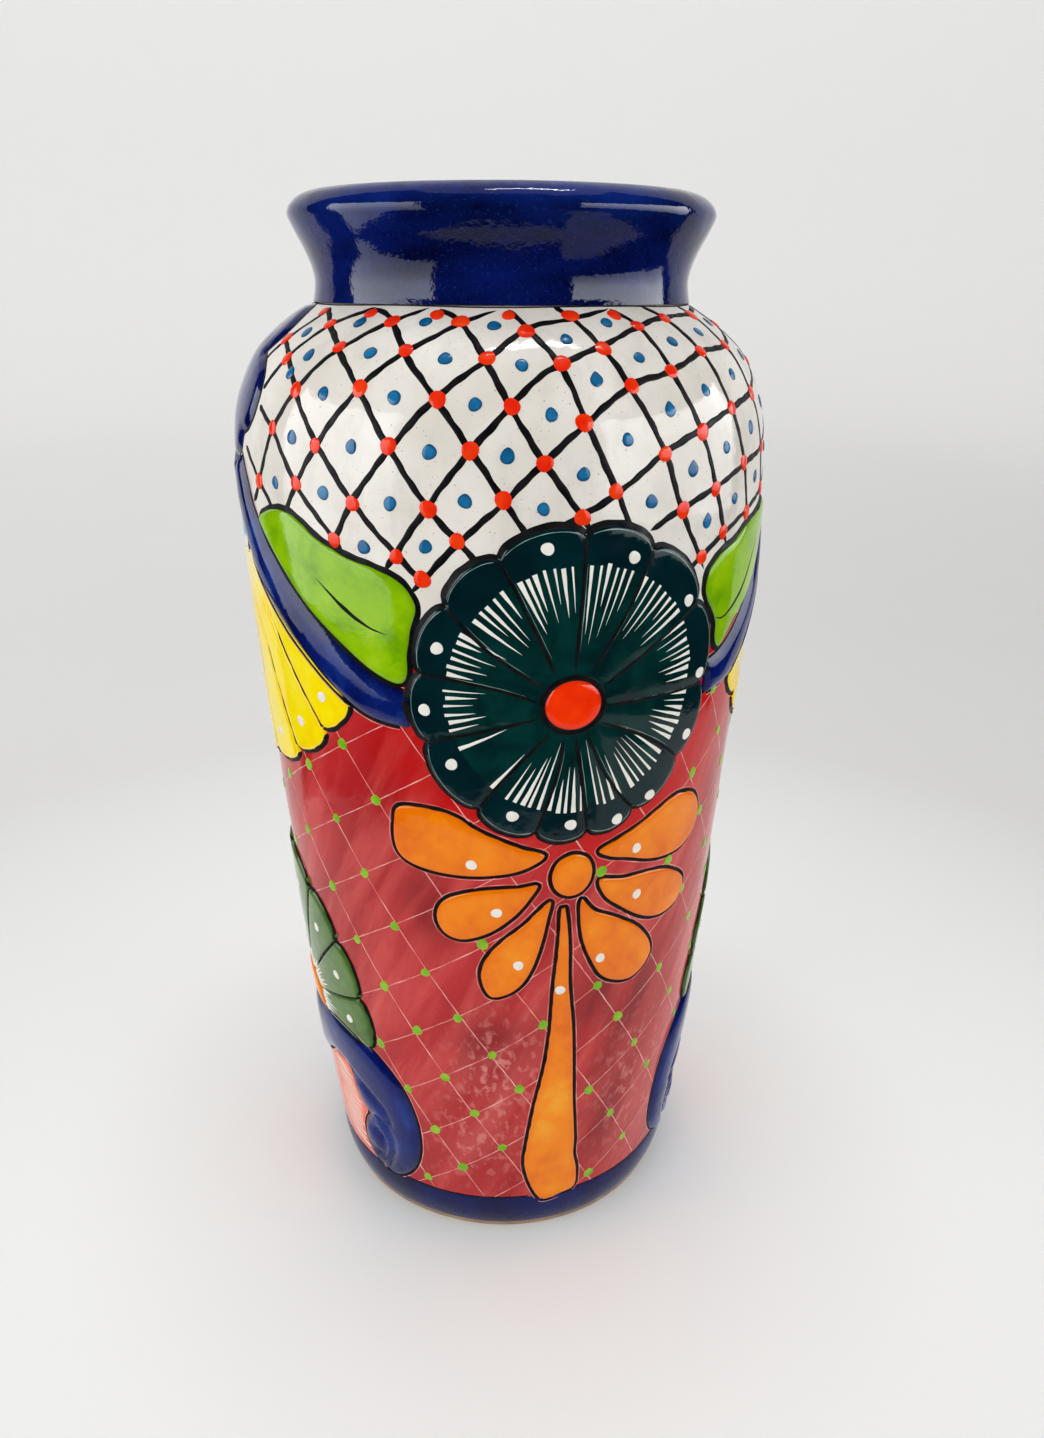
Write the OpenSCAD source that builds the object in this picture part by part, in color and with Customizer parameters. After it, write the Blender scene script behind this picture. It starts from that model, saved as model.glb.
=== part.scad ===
// Hand-painted talavera vase: a fired clay barrel with a luted, flared collar,
// coats of glaze in fields of colour, and low relief ornament laid on the glaze.
// Millimetres. +Z is up, the vase stands on z = 0 and -Y faces the main flower.

/* [Overall size] */
// Height of the whole vase
vase_h = 400; // [380:5:420]
// Diameter at the foot
base_d = 145; // [138:1:152]
// Diameter at the widest part, just under the shoulder
belly_d = 194; // [188:1:200]
// Diameter where the collar leaves the shoulder
neck_d = 132; // [128:1:136]
// Diameter over the rolled rim
rim_d = 149; // [145:1:153]

/* [Clay] */
// Thickness of the barrel's wall
wall_t = 8; // [7:0.5:9]
// Thickness of the collar at its throat
collar_t = 8.4; // [7.4:0.2:9.4]
// Thickness of the floor, measured from the table
floor_t = 12; // [10:1:14]
// Depth of the hollow under the foot
foot_hollow = 3; // [2:0.5:4]
// Width of the ring that stands on the table
foot_ring_w = 14; // [10:1:18]

/* [Glaze] */
// Thickness of each coat of glaze
glaze_t = 0.6; // [0.4:0.1:0.8]
// Height of the bare clay below the glaze
bare_foot_h = 3; // [2:0.5:5]
// Height of the cobalt band round the foot
foot_band_h = 18.5; // [17:0.5:19]
// How far the cobalt band swells out from the wall
foot_swell = 1; // [0.4:0.2:1.6]

/* [Relief] */
// Height of the flower petals above the glaze
petal_h = 1.6; // [1.2:0.2:2.6]
// Height of the buttons in the middle of the flowers
button_h = 2.2; // [1.6:0.2:3.2]
// Height of the leaves
leaf_h = 1.4; // [1:0.2:2.4]
// Height of the cobalt swags and scrolls
rope_h = 2.4; // [1.8:0.2:3.8]
// Height of the crests and the fans below them
crest_h = 1.2; // [0.8:0.2:2]
// Height of the plume, its stem and the coral panel
inlay_h = 0.8; // [0.6:0.1:1.2]

/* [Hidden] */
$fn = 120;

// Ornament is laid out as [azimuth in degrees, height] on a vase 400 mm tall
drawn_h = 400;
k = vase_h / drawn_h;
// Film of slip between the glaze and each piece of relief
bond = 0.2;
// Share of its outline that a piece fills where it shares an edge with its neighbour
inset_share = 0.95;

// ---- Wall -------------------------------------------------------------------------

base_r = base_d / 2;
belly_r = belly_d / 2;
neck_r = neck_d / 2;
rim_r = rim_d / 2;
throat_r = neck_r - collar_t - glaze_t;
belly_z = 297 * k;
neck_z = 365.4 * k;
split_z = 262 * k;

// [share of the height from foot to belly, share of the swell from foot to belly]
BARREL = [[0, 0], [0.04, 0.09], [0.1, 0.18], [0.2, 0.32], [0.44, 0.59], [0.68, 0.8], [0.88, 0.96],
  [1, 1]];
// [share of the height from belly to neck, share of the drop from belly to neck]
SHOULDER = [[0.12, 0], [0.34, 0.02], [0.51, 0.08], [0.66, 0.21], [0.775, 0.365], [0.87, 0.59],
  [0.95, 0.83], [1, 1]];
INNER_SHOULDER = [[0.12, 0], [0.36, 0.04], [0.52, 0.12], [0.65, 0.25], [0.76, 0.43], [0.86, 0.66],
  [0.93, 0.86], [1, 1]];
// [share of the collar's height, share of the flare from neck to rim]
COLLAR_OUT = [[0, 0.13], [0.1, 0.05], [0.22, 0.03], [0.36, 0.17], [0.51, 0.44], [0.62, 0.68],
  [0.73, 0.9], [0.8, 1], [0.87, 0.92], [0.94, 0.66], [0.98, 0.36], [1, 0.05]];
// [share of the collar's height, radius beyond the throat]
COLLAR_IN = [[0.985, 5.6], [0.92, 4.2], [0.77, 2.4], [0.62, 0.6], [0.54, 0], [0, 0]];
// Radius of the round corner between the floor and the wall
corner_r = 8;

// Smooth curve through the points of an open line, with n steps between two points
function curve(p, n) = let (last = len(p) - 1) concat(
  [for (i = [0:last - 1], s = [0:n - 1]) spline_at(p[max(i - 1, 0)], p[i], p[i + 1],
    p[min(i + 2, last)], s / n)],
  [p[last]]);

function spline_at(a, b, c, d, t) =
  b + (c - a) * t / 2 + (2 * a - 5 * b + 4 * c - d) * t * t / 2
  + (3 * b - a - 3 * c + d) * t * t * t / 2;

// The line moved sideways by d, to the left of its run; both ends move along the radius
function moved_left(p, d, first, last_way) = let (last = len(p) - 1) [for (i = [0:last])
  p[i] + d * (i == 0 ? first : i == last ? last_way : left_of(p[i + 1] - p[i - 1]))];

function left_of(v) = [-v[1], v[0]] / norm(v);

function backwards(p) = [for (i = [len(p) - 1:-1:0]) p[i]];

// Outer surface of the glaze as [height, radius], from the foot to the neck
SKIN = curve(concat(
  [for (p = BARREL) [p[0] * belly_z, base_r + p[1] * (belly_r - base_r)]],
  [for (p = SHOULDER) [belly_z + p[0] * (neck_z - belly_z), belly_r - p[1] * (belly_r - neck_r)]]),
  3);

function skin_r(z) = lookup(z, SKIN);

// The same surface as [radius, height] between two heights, inset into the wall by d
function skin_between(low, high, d) = concat(
  [[skin_r(low) - d, low]],
  [for (p = SKIN) if (p[0] > low + 0.01 && p[0] < high - 0.01) [p[1] - d, p[0]]],
  [[skin_r(high) - d, high]]);

// Inner surface of the clay as [radius, height], from the middle of the floor to the neck
inner_belly_r = belly_r - wall_t;
clay_throat_r = throat_r + glaze_t;
inner_foot_r = skin_r(floor_t + corner_r) - wall_t;
INNER = concat(
  [[0, floor_t]],
  [for (a = [0:15:90]) [inner_foot_r - corner_r * (1 - sin(a)), floor_t + corner_r * (1 - cos(a))]],
  [for (s = [0.15:0.1:0.95]) [skin_r(s * belly_z) - wall_t, s * belly_z]],
  curve([for (q = INNER_SHOULDER) [inner_belly_r - q[1] * (inner_belly_r - clay_throat_r),
    belly_z + q[0] * (neck_z - belly_z)]], 3));

// Surface of the collar as [radius, height], up the outside, over the rim and down the throat
COLLAR = let (h = vase_h - neck_z) concat(
  curve(concat(
    [for (p = COLLAR_OUT) [neck_r + p[1] * (rim_r - neck_r), neck_z + p[0] * h]],
    [for (i = [0:4]) [throat_r + COLLAR_IN[i][1], neck_z + COLLAR_IN[i][0] * h]]), 3),
  [[throat_r, neck_z]]);
COLLAR_CLAY = moved_left(COLLAR, glaze_t, [-1, 0], [1, 0]);

module coat(low, high) {
  rotate_extrude()
    polygon(concat(skin_between(low, high, 0), backwards(skin_between(low, high, glaze_t))));
}

module clay_body() {
  hollow_r = base_r - foot_ring_w;
  color("peru")
    rotate_extrude()
      polygon(concat([[0, foot_hollow], [hollow_r - foot_hollow, foot_hollow], [hollow_r, 0]],
        skin_between(0, neck_z, glaze_t), backwards(INNER)));
}

module clay_collar() {
  color("peru")
    rotate_extrude()
      polygon(COLLAR_CLAY);
}

module inner_glaze() {
  color("oldlace")
    rotate_extrude()
      polygon(concat(moved_left(INNER, glaze_t, [0, 1], [-1, 0]), backwards(INNER)));
}

module collar_glaze() {
  color("midnightblue")
    rotate_extrude()
      polygon(concat(COLLAR, backwards(COLLAR_CLAY)));
}

module shoulder_glaze() {
  color("linen")
    coat(split_z, neck_z);
}

module red_glaze() {
  color("firebrick")
    coat(foot_band_h * k, split_z);
}

// Outer surface of the swelling band as [radius, height]
FOOT_ROLL = [for (i = [0:12]) let (z = bare_foot_h + (foot_band_h * k - bare_foot_h) * i / 12)
  [skin_r(z) + foot_swell * pow(max(0, sin(15 * i)), 0.7), z]];

module foot_glaze() {
  color("midnightblue")
    rotate_extrude()
      polygon(concat(FOOT_ROLL, backwards(skin_between(bare_foot_h, foot_band_h * k, glaze_t))));
}

// ---- Relief builders ----------------------------------------------------------------

// The point at azimuth a and drawn height z that stands h proud of the glaze
function wall_point(a, z, h) = let (r = skin_r(z * k) + h) [r * sin(a), -r * cos(a), z * k];

// A length along the wall, in millimetres, as degrees of azimuth at drawn height z
function as_turn(x, z) = x / skin_r(z * k) * 180 / PI;

// [azimuth, height] of the point x to the right and y above a centre, in millimetres
function beside(centre, x, y) = [centre[0] + as_turn(x, centre[1] + y), centre[1] + y];

function polar(centre, radius, angle) = beside(centre, radius * cos(angle), radius * sin(angle));

// Triangles between ring j and the next one, of n points each, after one leading point
function band_faces(j, n) = [for (i = [0:n - 1]) let (a = 1 + j * n + i, b = 1 + j * n + (i + 1) % n)
  each [[a, b, b + n], [a, b + n, a + n]]];

// A closed solid through rings of equal length, from a point below to a point above
module ringed_solid(rings, below, above) {
  n = len(rings[0]);
  m = len(rings);
  points = concat([below], [for (ring = rings) each ring], [above]);
  faces = concat(
    [for (i = [0:n - 1]) [0, 1 + (i + 1) % n, 1 + i]],
    [for (j = [0:m - 2]) each band_faces(j, n)],
    [for (i = [0:n - 1]) [1 + (m - 1) * n + i, 1 + (m - 1) * n + (i + 1) % n, 1 + m * n]]);
  polyhedron(points, [for (f = faces) backwards(f)], convexity = 6);
}

// A low cushion of height h over an outline that runs anticlockwise round its centre. Its rings
// are [share of the outline, share of the height], with enough steps to follow the round wall
module pad(outline, centre, h, share = 1, steps = 3) {
  rings = concat(
    [for (i = [1:steps]) [i / steps, 0]],
    [[1, 0.5], [0.86, 1]],
    [for (i = [steps - 2:-1:1]) [i / steps, 1]]);
  ringed_solid(
    [for (g = rings) [for (p = outline) let (q = centre + (p - centre) * g[0] * share)
      wall_point(q[0], q[1], bond + g[1] * h)]],
    wall_point(centre[0], centre[1], bond),
    wall_point(centre[0], centre[1], bond + h));
}

// Section of a rope as [share of the half width, share of the height], anticlockwise
ROPE = [[-1, 0], [-0.35, 0], [0.35, 0], [1, 0], [1, 0.4], [0.72, 0.85], [0.25, 1], [-0.25, 1],
  [-0.72, 0.85], [-1, 0.4]];

// A rounded band along stations of [azimuth, height, half width]
module rope(stations, h) {
  last = len(stations) - 1;
  n = len(ROPE);
  rings = [for (i = [0:last]) let (
    p = stations[i],
    run = stations[min(i + 1, last)] - stations[max(i - 1, 0)],
    side = left_of([run[0] * skin_r(p[1] * k) * PI / 180, run[1]]))
    [for (s = ROPE) let (q = beside([p[0], p[1]], side[0] * s[0] * p[2], side[1] * s[0] * p[2]))
      wall_point(q[0], q[1], bond + s[1] * h)]];
  ringed_solid(rings,
    (rings[0][1] + rings[0][6]) / 2,
    (rings[last][1] + rings[last][6]) / 2);
}

function oval(centre, rx, ry, n) = [for (i = [0:n - 1])
  beside(centre, rx * cos(360 * i / n), ry * sin(360 * i / n))];

// ---- Front and back: flower, leaves and swags ------------------------------------------

flower_centre = [1.2, 248.5];
button_centre = [0.3, 244.5];
flower_button_r = 9;
notch_r = 52;
lobe_h = 4;
// Angle of each notch between two petals, clockwise from the top
NOTCHES = [89, 62, 29, -6, -37, -64, -84, -104, -128, -161, -188, -215, -240, -271];

// Outline of the petal between notches i and i + 1, anticlockwise from its inner end
function petal_outline(i) = let (a = NOTCHES[i + 1], b = NOTCHES[i]) concat(
  [for (t = [0, 0.5, 1]) button_edge(a + (b - a) * (1 - t))],
  [for (t = [0.25, 0.5, 0.75]) button_edge(a) * (1 - t) + polar(flower_centre, notch_r, a) * t],
  [for (t = [0:0.2:1]) polar(flower_centre, notch_r + lobe_h * sqrt(sin(180 * t)), a + (b - a) * t)],
  [for (t = [0.75, 0.5, 0.25]) button_edge(b) * (1 - t) + polar(flower_centre, notch_r, b) * t]);

function button_edge(angle) = polar(button_centre, flower_button_r + 2, angle);

module flower_petals() {
  for (i = [0:len(NOTCHES) - 2]) {
    middle = (NOTCHES[i] + NOTCHES[i + 1]) / 2;
    pad(petal_outline(i), polar(flower_centre, 0.66 * notch_r, middle), petal_h, inset_share);
  }
}

module flower_button() {
  pad(oval(button_centre, flower_button_r, flower_button_r - 0.7, 16), button_centre, button_h,
    steps = 2);
}

LEFT_LEAF = [[-71.5, 298], [-70, 293.5], [-63, 283], [-55, 271.5], [-47, 262], [-40, 254],
  [-35.4, 251], [-34.4, 254], [-34, 262], [-33, 270], [-31.5, 277], [-34, 285], [-38, 288.5],
  [-44, 292], [-50, 295.5], [-55, 300], [-60, 303], [-66, 302]];
RIGHT_LEAF = [[69, 295], [63, 299.5], [52, 296.5], [46, 295], [41, 291.5], [36, 289], [31.8, 283.5],
  [31.5, 277], [33.5, 271], [36.2, 264], [37, 256], [38.4, 253.2], [40, 255], [44, 261], [50, 266],
  [56, 272.5], [62, 280], [67, 288]];

module leaf_left() {
  pad(LEFT_LEAF, [-50, 279], leaf_h, steps = 4);
}

module leaf_right() {
  pad(RIGHT_LEAF, [50, 281], leaf_h, steps = 4);
}

LEFT_SWAG = [[-35.6, 242.2, 6.5], [-40, 244, 7.5], [-46, 249.5, 7.6], [-55, 260.5, 7.5],
  [-65, 273.5, 7.6], [-72, 283.5, 7.6], [-78, 295, 7.4], [-81.5, 304, 7], [-83.4, 309.5, 6]];
RIGHT_SWAG = [[38.2, 244, 6.5], [42, 245.4, 7.6], [49, 251.5, 8.2], [56, 259.8, 8.2],
  [63, 269.8, 8.2], [70, 282, 7.8], [76.5, 294, 7.6], [81.5, 304, 7], [83.4, 309.5, 6]];

module swag(stations) {
  rope(curve(stations, 2), rope_h);
}

// ---- Front and back: plume ---------------------------------------------------------------

plume_button = [2, 178.3];
// Each plume petal as its root, its far end and its half width
PLUME = [
  [[-5.5, 187], [-38.3, 192], 11],
  [[9, 186], [39.8, 187], 11],
  [[-6.5, 175], [-28.6, 157.5], 9],
  [[9.5, 173.3], [36.8, 155], 9.6],
  [[-3.4, 165.5], [-16.3, 127.5], 8],
  [[5.2, 165.5], [21.5, 125.8], 9]];
// Where along a petal it is widest
widest = 0.68;

// Share of its half width that a plume petal has at share t of its length
function drop_width(t) = t < widest ? sin(90 * t / widest)
  : sqrt(max(0, 1 - pow((t - widest) / (1 - widest), 2)));

// Point at share t along a plume petal and share s of its half width to the left
function drop_point(petal, t, s) = let (
  root = petal[0],
  end = petal[1],
  z = root[1] + (end[1] - root[1]) * t,
  run = [(end[0] - root[0]) * skin_r(z * k) * PI / 180, end[1] - root[1]],
  side = left_of(run) * s * petal[2] * drop_width(t))
  beside(root + (end - root) * t, side[0], side[1]);

function drop_outline(petal) = concat(
  [drop_point(petal, 0, 0)],
  [for (t = [0.2, 0.45, widest, 0.84, 0.95]) drop_point(petal, t, -1)],
  [drop_point(petal, 1, 0)],
  [for (t = [0.95, 0.84, widest, 0.45, 0.2]) drop_point(petal, t, 1)]);

module plume_petals() {
  for (petal = PLUME)
    pad(drop_outline(petal), drop_point(petal, widest * 0.85, 0), inlay_h, steps = 4);
}

module plume_button() {
  pad(oval(plume_button, 6.4, 7.6, 14), plume_button, inlay_h, steps = 2);
}

// The club-shaped stem as [azimuth, height, half width]
STEM = [[0.3, 167, 0.6], [0.7, 150, 1.8], [0.9, 130, 2.9], [1.3, 110, 4.2], [1.2, 90, 5.8],
  [0.6, 70, 8], [0.3, 50, 10.1], [0.4, 38, 10.8], [1.6, 27, 9.6], [2.6, 20, 7.4]];

module plume_stem() {
  rope(curve(STEM, 2), inlay_h);
}

// ---- Sides: crest, fan, flower and scrolls, laid out round azimuth 0 ------------------------

HALF_CREST = [[0, 314], [4, 315.5], [7.6, 319], [9.5, 323.5], [13, 326], [16, 331], [16.8, 337],
  [15, 343], [11, 347.5], [7.5, 349.5], [10.5, 352], [11.5, 355.5], [9.5, 358.5], [5, 360.5]];

// A right half outline, from the bottom to the top, with its mirror image
function both_halves(half) = concat(half, [for (i = [len(half) - 1:-1:0])
  if (abs(half[i][0]) > 0.01) [-half[i][0], half[i][1]]]);

module crest() {
  pad(both_halves(HALF_CREST), [0, 338], crest_h, steps = 6);
}

fan_heart = [0, 312];
heart_r = 31;
fan_start_r = 34;
// Angle from straight down of each edge between fan petals, at their inner and outer ends
FAN_IN = [-33, -24, -14, -4.5, 4.5, 14, 24, 33];
FAN_OUT = [-44, -33.5, -21.5, -7.5, 7.5, 21.5, 33.5, 44];
FAN_R = [100, 104, 106, 107.5, 106, 104, 100];
fan_lobe = 3;

// Angle of fan edge j at share s of the way out
function fan_angle(j, s) = FAN_IN[j] + (FAN_OUT[j] - FAN_IN[j]) * pow(s, 0.7) - 90;

// Point at share s along fan edge j, on a petal that reaches out to radius r
function fan_edge(j, s, r) = polar(fan_heart, fan_start_r + s * (r - fan_start_r), fan_angle(j, s));

// Outline of fan petal j, clockwise from its inner end
function fan_outline(j) = let (r = FAN_R[j]) concat(
  [for (s = [0, 0.2, 0.45, 0.72]) fan_edge(j + 1, s, r)],
  [for (t = [1:-0.2:0]) polar(fan_heart, r + fan_lobe * sqrt(sin(180 * t)),
    fan_angle(j, 1) * (1 - t) + fan_angle(j + 1, 1) * t)],
  [for (s = [0.72, 0.45, 0.2, 0]) fan_edge(j, s, r)]);

module fan_petals() {
  for (j = [0:len(FAN_R) - 1]) {
    r = FAN_R[j];
    middle = (fan_angle(j, 0.6) + fan_angle(j + 1, 0.6)) / 2;
    pad(backwards(fan_outline(j)), polar(fan_heart, fan_start_r + 0.62 * (r - fan_start_r), middle),
      crest_h, inset_share);
  }
}

module fan_heart_tip() {
  spread = 24;
  outline = concat([beside(fan_heart, 0, -9)],
    [for (a = [-spread:spread / 3:spread]) polar(fan_heart, heart_r, a - 90)]);
  pad(outline, beside(fan_heart, 0, -23), crest_h, steps = 2);
}

side_flower = [0, 90];
// Angle of each notch between side petals, from the right over the top to the left
SIDE_NOTCHES = [4, 24, 45, 66, 90, 114, 135, 156, 176];
side_button_r = 20;

// Distance to the notches of the side flower, which is taller than it is wide
function side_r(angle) = 54 + 11 * pow(abs(sin(angle)), 2);

// Point at share s of the way out from the button to the notch at an angle
function side_edge(angle, s) = let (start = side_button_r + 3)
  polar(side_flower, start + s * (side_r(angle) - start), angle);

// Outline of side petal i, anticlockwise from its inner end
function side_petal(i) = let (a = SIDE_NOTCHES[i], b = SIDE_NOTCHES[i + 1], turn = b - a) concat(
  [for (t = [1, 0.5, 0]) side_edge(a + turn * t, 0)],
  [for (s = [0.35, 0.7]) side_edge(a, s)],
  [for (t = [0:0.2:1]) polar(side_flower, side_r(a + turn * t) + 4 * sqrt(sin(180 * t)), a + turn * t)],
  [for (s = [0.7, 0.35]) side_edge(b, s)]);

module side_petals() {
  for (i = [0:len(SIDE_NOTCHES) - 2]) {
    middle = (SIDE_NOTCHES[i] + SIDE_NOTCHES[i + 1]) / 2;
    pad(side_petal(i), polar(side_flower, 0.68 * side_r(middle), middle), petal_h, inset_share);
  }
}

module side_button() {
  outline = concat(
    [for (x = [-1:0.4:1]) beside(side_flower, x * side_button_r, -2)],
    [for (a = [10:20:170]) beside(side_flower, side_button_r * cos(a), 13 * sin(a) - 1)]);
  pad(outline, beside(side_flower, 0, 4), button_h);
}

// The scroll's band as [azimuth, height, half width], from the middle to the foot
SCROLL = [[4, 69.5, 8], [12, 73, 8.2], [20, 77, 8.6], [28, 77.5, 9], [35, 72, 9.6], [40.5, 62, 10],
  [43.2, 50, 10], [43, 38, 9.4], [40.5, 27.5, 8]];

module scroll_half() {
  rope(curve(SCROLL, 2), rope_h);
  pad(oval([31, 31], 7.6, 10.6, 14), [31, 31], rope_h, steps = 2);
  pad(oval([28, 55.5], 7.2, 6.6, 12), [28, 55.5], rope_h - 0.8, steps = 2);
}

module scrolls() {
  scroll_half();
  mirror([1, 0, 0])
    scroll_half();
}

HALF_PANEL = [[0, 20], [6, 20], [12, 20], [17, 20], [22, 21], [23.5, 29], [23.8, 38], [21.5, 45],
  [20.8, 52], [20, 60], [13, 59], [5, 56.5], [0, 56]];

module coral_panel() {
  pad(both_halves(HALF_PANEL), [0, 38], inlay_h, steps = 5);
}

// ---- Placing ----------------------------------------------------------------------------------

module at_back() {
  rotate([0, 0, 180])
    children();
}

module at_left() {
  rotate([0, 0, -90])
    children();
}

module at_right() {
  rotate([0, 0, 90])
    children();
}

module front_flower_petals() { color("darkslategray") flower_petals(); }
module front_flower_button() { color("orangered") flower_button(); }
module front_leaf_left() { color("yellowgreen") leaf_left(); }
module front_leaf_right() { color("yellowgreen") leaf_right(); }
module front_swag_left() { color("midnightblue") swag(LEFT_SWAG); }
module front_swag_right() { color("midnightblue") swag(RIGHT_SWAG); }
module front_plume_button() { color("darkorange") plume_button(); }
module front_plume_petals() { color("darkorange") plume_petals(); }
module front_plume_stem() { color("darkorange") plume_stem(); }

module back_flower_petals() { at_back() front_flower_petals(); }
module back_flower_button() { at_back() front_flower_button(); }
module back_leaf_left() { at_back() front_leaf_left(); }
module back_leaf_right() { at_back() front_leaf_right(); }
module back_swag_left() { at_back() front_swag_left(); }
module back_swag_right() { at_back() front_swag_right(); }
module back_plume_button() { at_back() front_plume_button(); }
module back_plume_petals() { at_back() front_plume_petals(); }
module back_plume_stem() { at_back() front_plume_stem(); }

module left_crest() { color("midnightblue") at_left() crest(); }
module left_fan_heart() { color("lightblue") at_left() fan_heart_tip(); }
module left_fan_petals() { color("gold") at_left() fan_petals(); }
module left_flower_petals() { color("darkgreen") at_left() side_petals(); }
module left_flower_button() { color("orange") at_left() side_button(); }
module left_scrolls() { color("midnightblue") at_left() scrolls(); }
module left_coral_panel() { color("tomato") at_left() coral_panel(); }

module right_crest() { color("midnightblue") at_right() crest(); }
module right_fan_heart() { color("lightblue") at_right() fan_heart_tip(); }
module right_fan_petals() { color("gold") at_right() fan_petals(); }
module right_flower_petals() { color("darkgreen") at_right() side_petals(); }
module right_flower_button() { color("orange") at_right() side_button(); }
module right_scrolls() { color("midnightblue") at_right() scrolls(); }
module right_coral_panel() { color("tomato") at_right() coral_panel(); }

clay_body();
clay_collar();
inner_glaze();
collar_glaze();
shoulder_glaze();
red_glaze();
foot_glaze();
front_flower_petals();
front_flower_button();
front_leaf_left();
front_leaf_right();
front_swag_left();
front_swag_right();
front_plume_button();
front_plume_petals();
front_plume_stem();
back_flower_petals();
back_flower_button();
back_leaf_left();
back_leaf_right();
back_swag_left();
back_swag_right();
back_plume_button();
back_plume_petals();
back_plume_stem();
left_crest();
left_fan_heart();
left_fan_petals();
left_flower_petals();
left_flower_button();
left_scrolls();
left_coral_panel();
right_crest();
right_fan_heart();
right_fan_petals();
right_flower_petals();
right_flower_button();
right_scrolls();
right_coral_panel();
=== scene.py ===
"""Looks for a hand-painted talavera vase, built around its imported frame.

Ornament is laid out on the wall as [azimuth, height]: azimuth in degrees from the front flower,
growing to the right, and height in drawn millimetres on a vase 400 drawn millimetres tall.
Coats of glaze are turned from the frame's own outlines, relief is a closed cushion over an
outline, and paint is a thin bead or dot of glaze that follows whatever lies under it.
"""
import math
import random

import bpy
import numpy as np
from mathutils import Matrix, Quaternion, Vector
from mathutils.bvhtree import BVHTree
from mathutils.geometry import delaunay_2d_cdt


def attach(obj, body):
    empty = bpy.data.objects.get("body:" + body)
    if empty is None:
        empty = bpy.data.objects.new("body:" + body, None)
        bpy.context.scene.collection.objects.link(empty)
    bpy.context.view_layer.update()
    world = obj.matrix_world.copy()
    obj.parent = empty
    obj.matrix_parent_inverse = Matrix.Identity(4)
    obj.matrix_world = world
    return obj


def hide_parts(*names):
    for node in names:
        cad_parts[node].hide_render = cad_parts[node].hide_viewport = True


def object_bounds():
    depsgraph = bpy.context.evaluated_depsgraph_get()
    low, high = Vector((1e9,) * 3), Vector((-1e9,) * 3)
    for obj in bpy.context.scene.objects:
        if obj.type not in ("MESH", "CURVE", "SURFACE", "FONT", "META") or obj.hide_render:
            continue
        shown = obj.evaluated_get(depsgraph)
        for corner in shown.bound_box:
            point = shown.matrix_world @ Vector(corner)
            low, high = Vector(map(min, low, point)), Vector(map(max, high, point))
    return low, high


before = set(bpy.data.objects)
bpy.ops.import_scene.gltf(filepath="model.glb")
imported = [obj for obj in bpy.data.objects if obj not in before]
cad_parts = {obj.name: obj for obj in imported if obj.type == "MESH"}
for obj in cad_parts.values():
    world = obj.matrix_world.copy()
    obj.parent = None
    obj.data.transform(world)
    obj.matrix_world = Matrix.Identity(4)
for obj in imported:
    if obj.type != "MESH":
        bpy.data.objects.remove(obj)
cad_low, cad_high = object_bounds()

DRAWN_HEIGHT = 400
MM = (cad_high.z - cad_low.z) / DRAWN_HEIGHT
chance = random.Random(7)

# ---- Wall -----------------------------------------------------------------------------------


def seam_outline(node):
    """The [radius, height] outline a turned node was made from, and whether it is a closed loop."""
    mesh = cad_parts[node].data
    links = {}
    for edge in mesh.edges:
        ends = [mesh.vertices[i].co for i in edge.vertices]
        if all(abs(p.y) < 1e-6 and p.x > -1e-6 for p in ends):
            a, b = [(round(p.x / MM, 2), round(p.z / MM, 2)) for p in ends]
            if a != b:
                links.setdefault(a, set()).add(b)
                links.setdefault(b, set()).add(a)
    loose = [p for p in links if len(links[p]) == 1]
    here = min(loose or links, key=lambda p: (p[1], -p[0]))
    outline, seen = [here], {here}
    while True:
        onward = sorted(p for p in links[here] if p not in seen)
        if not onward:
            return np.array(outline), not loose
        here = onward[0]
        seen.add(here)
        outline.append(here)


def smooth(points, step, closed=False):
    """A smooth line through points, with a point about every step. A doubled point is a corner."""
    points = np.array(points, float)
    last = len(points) - 1
    line = []
    for i in range(last + closed):
        if closed:
            a, b, c, d = (points[(i + j) % (last + 1)] for j in (-1, 0, 1, 2))
        else:
            a, b, c, d = points[max(i - 1, 0)], points[i], points[i + 1], points[min(i + 2, last)]
        gap = np.linalg.norm((c - b)[:2])
        if gap > 1e-6:
            t = np.arange(max(1, math.ceil(gap / step)))[:, None] / max(1, math.ceil(gap / step))
            line.append(b + (c - a) * t / 2 + (2 * a - 5 * b + 4 * c - d) * t**2 / 2
                        + (3 * b - a - 3 * c + d) * t**3 / 2)
    return np.vstack(line if closed else line + [points[-1:]])


def with_corners(points, closed, sharpest=38):
    """The points again, doubled at the ends and where the line turns more than the sharpest angle."""
    out = []
    for i, p in enumerate(points):
        sharp = not closed and i in (0, len(points) - 1)
        if not sharp:
            before, after = p - points[i - 1], points[(i + 1) % len(points)] - p
            cosine = before @ after / np.linalg.norm(before) / np.linalg.norm(after)
            sharp = cosine < math.cos(math.radians(sharpest))
        out += [p, p] if sharp else [p]
    return np.array(out)


def outer_skin(*nodes):
    """Heights and radii along the outside of some turned coats, finely sampled."""
    widest = {}
    for node in nodes:
        for r, z in seam_outline(node)[0]:
            widest[z] = max(r, widest.get(z, 0))
    line = smooth(sorted(widest.items()), 0.8)
    return line[:, 0], line[:, 1]


SKIN_Z, SKIN_R = outer_skin("foot_glaze", "red_glaze", "shoulder_glaze")
SKIN_SLOPE = np.gradient(SKIN_R, SKIN_Z)


def skin(z):
    return np.interp(z, SKIN_Z, SKIN_R)


def per_degree(z):
    """Millimetres round the wall for a degree of azimuth, at one height."""
    return math.radians(1) * float(skin(z))


# The wall is even near the axis, and fully uneven from the second radius outwards.
EVEN_WITHIN, UNEVEN_FROM = 20, 60


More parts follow.
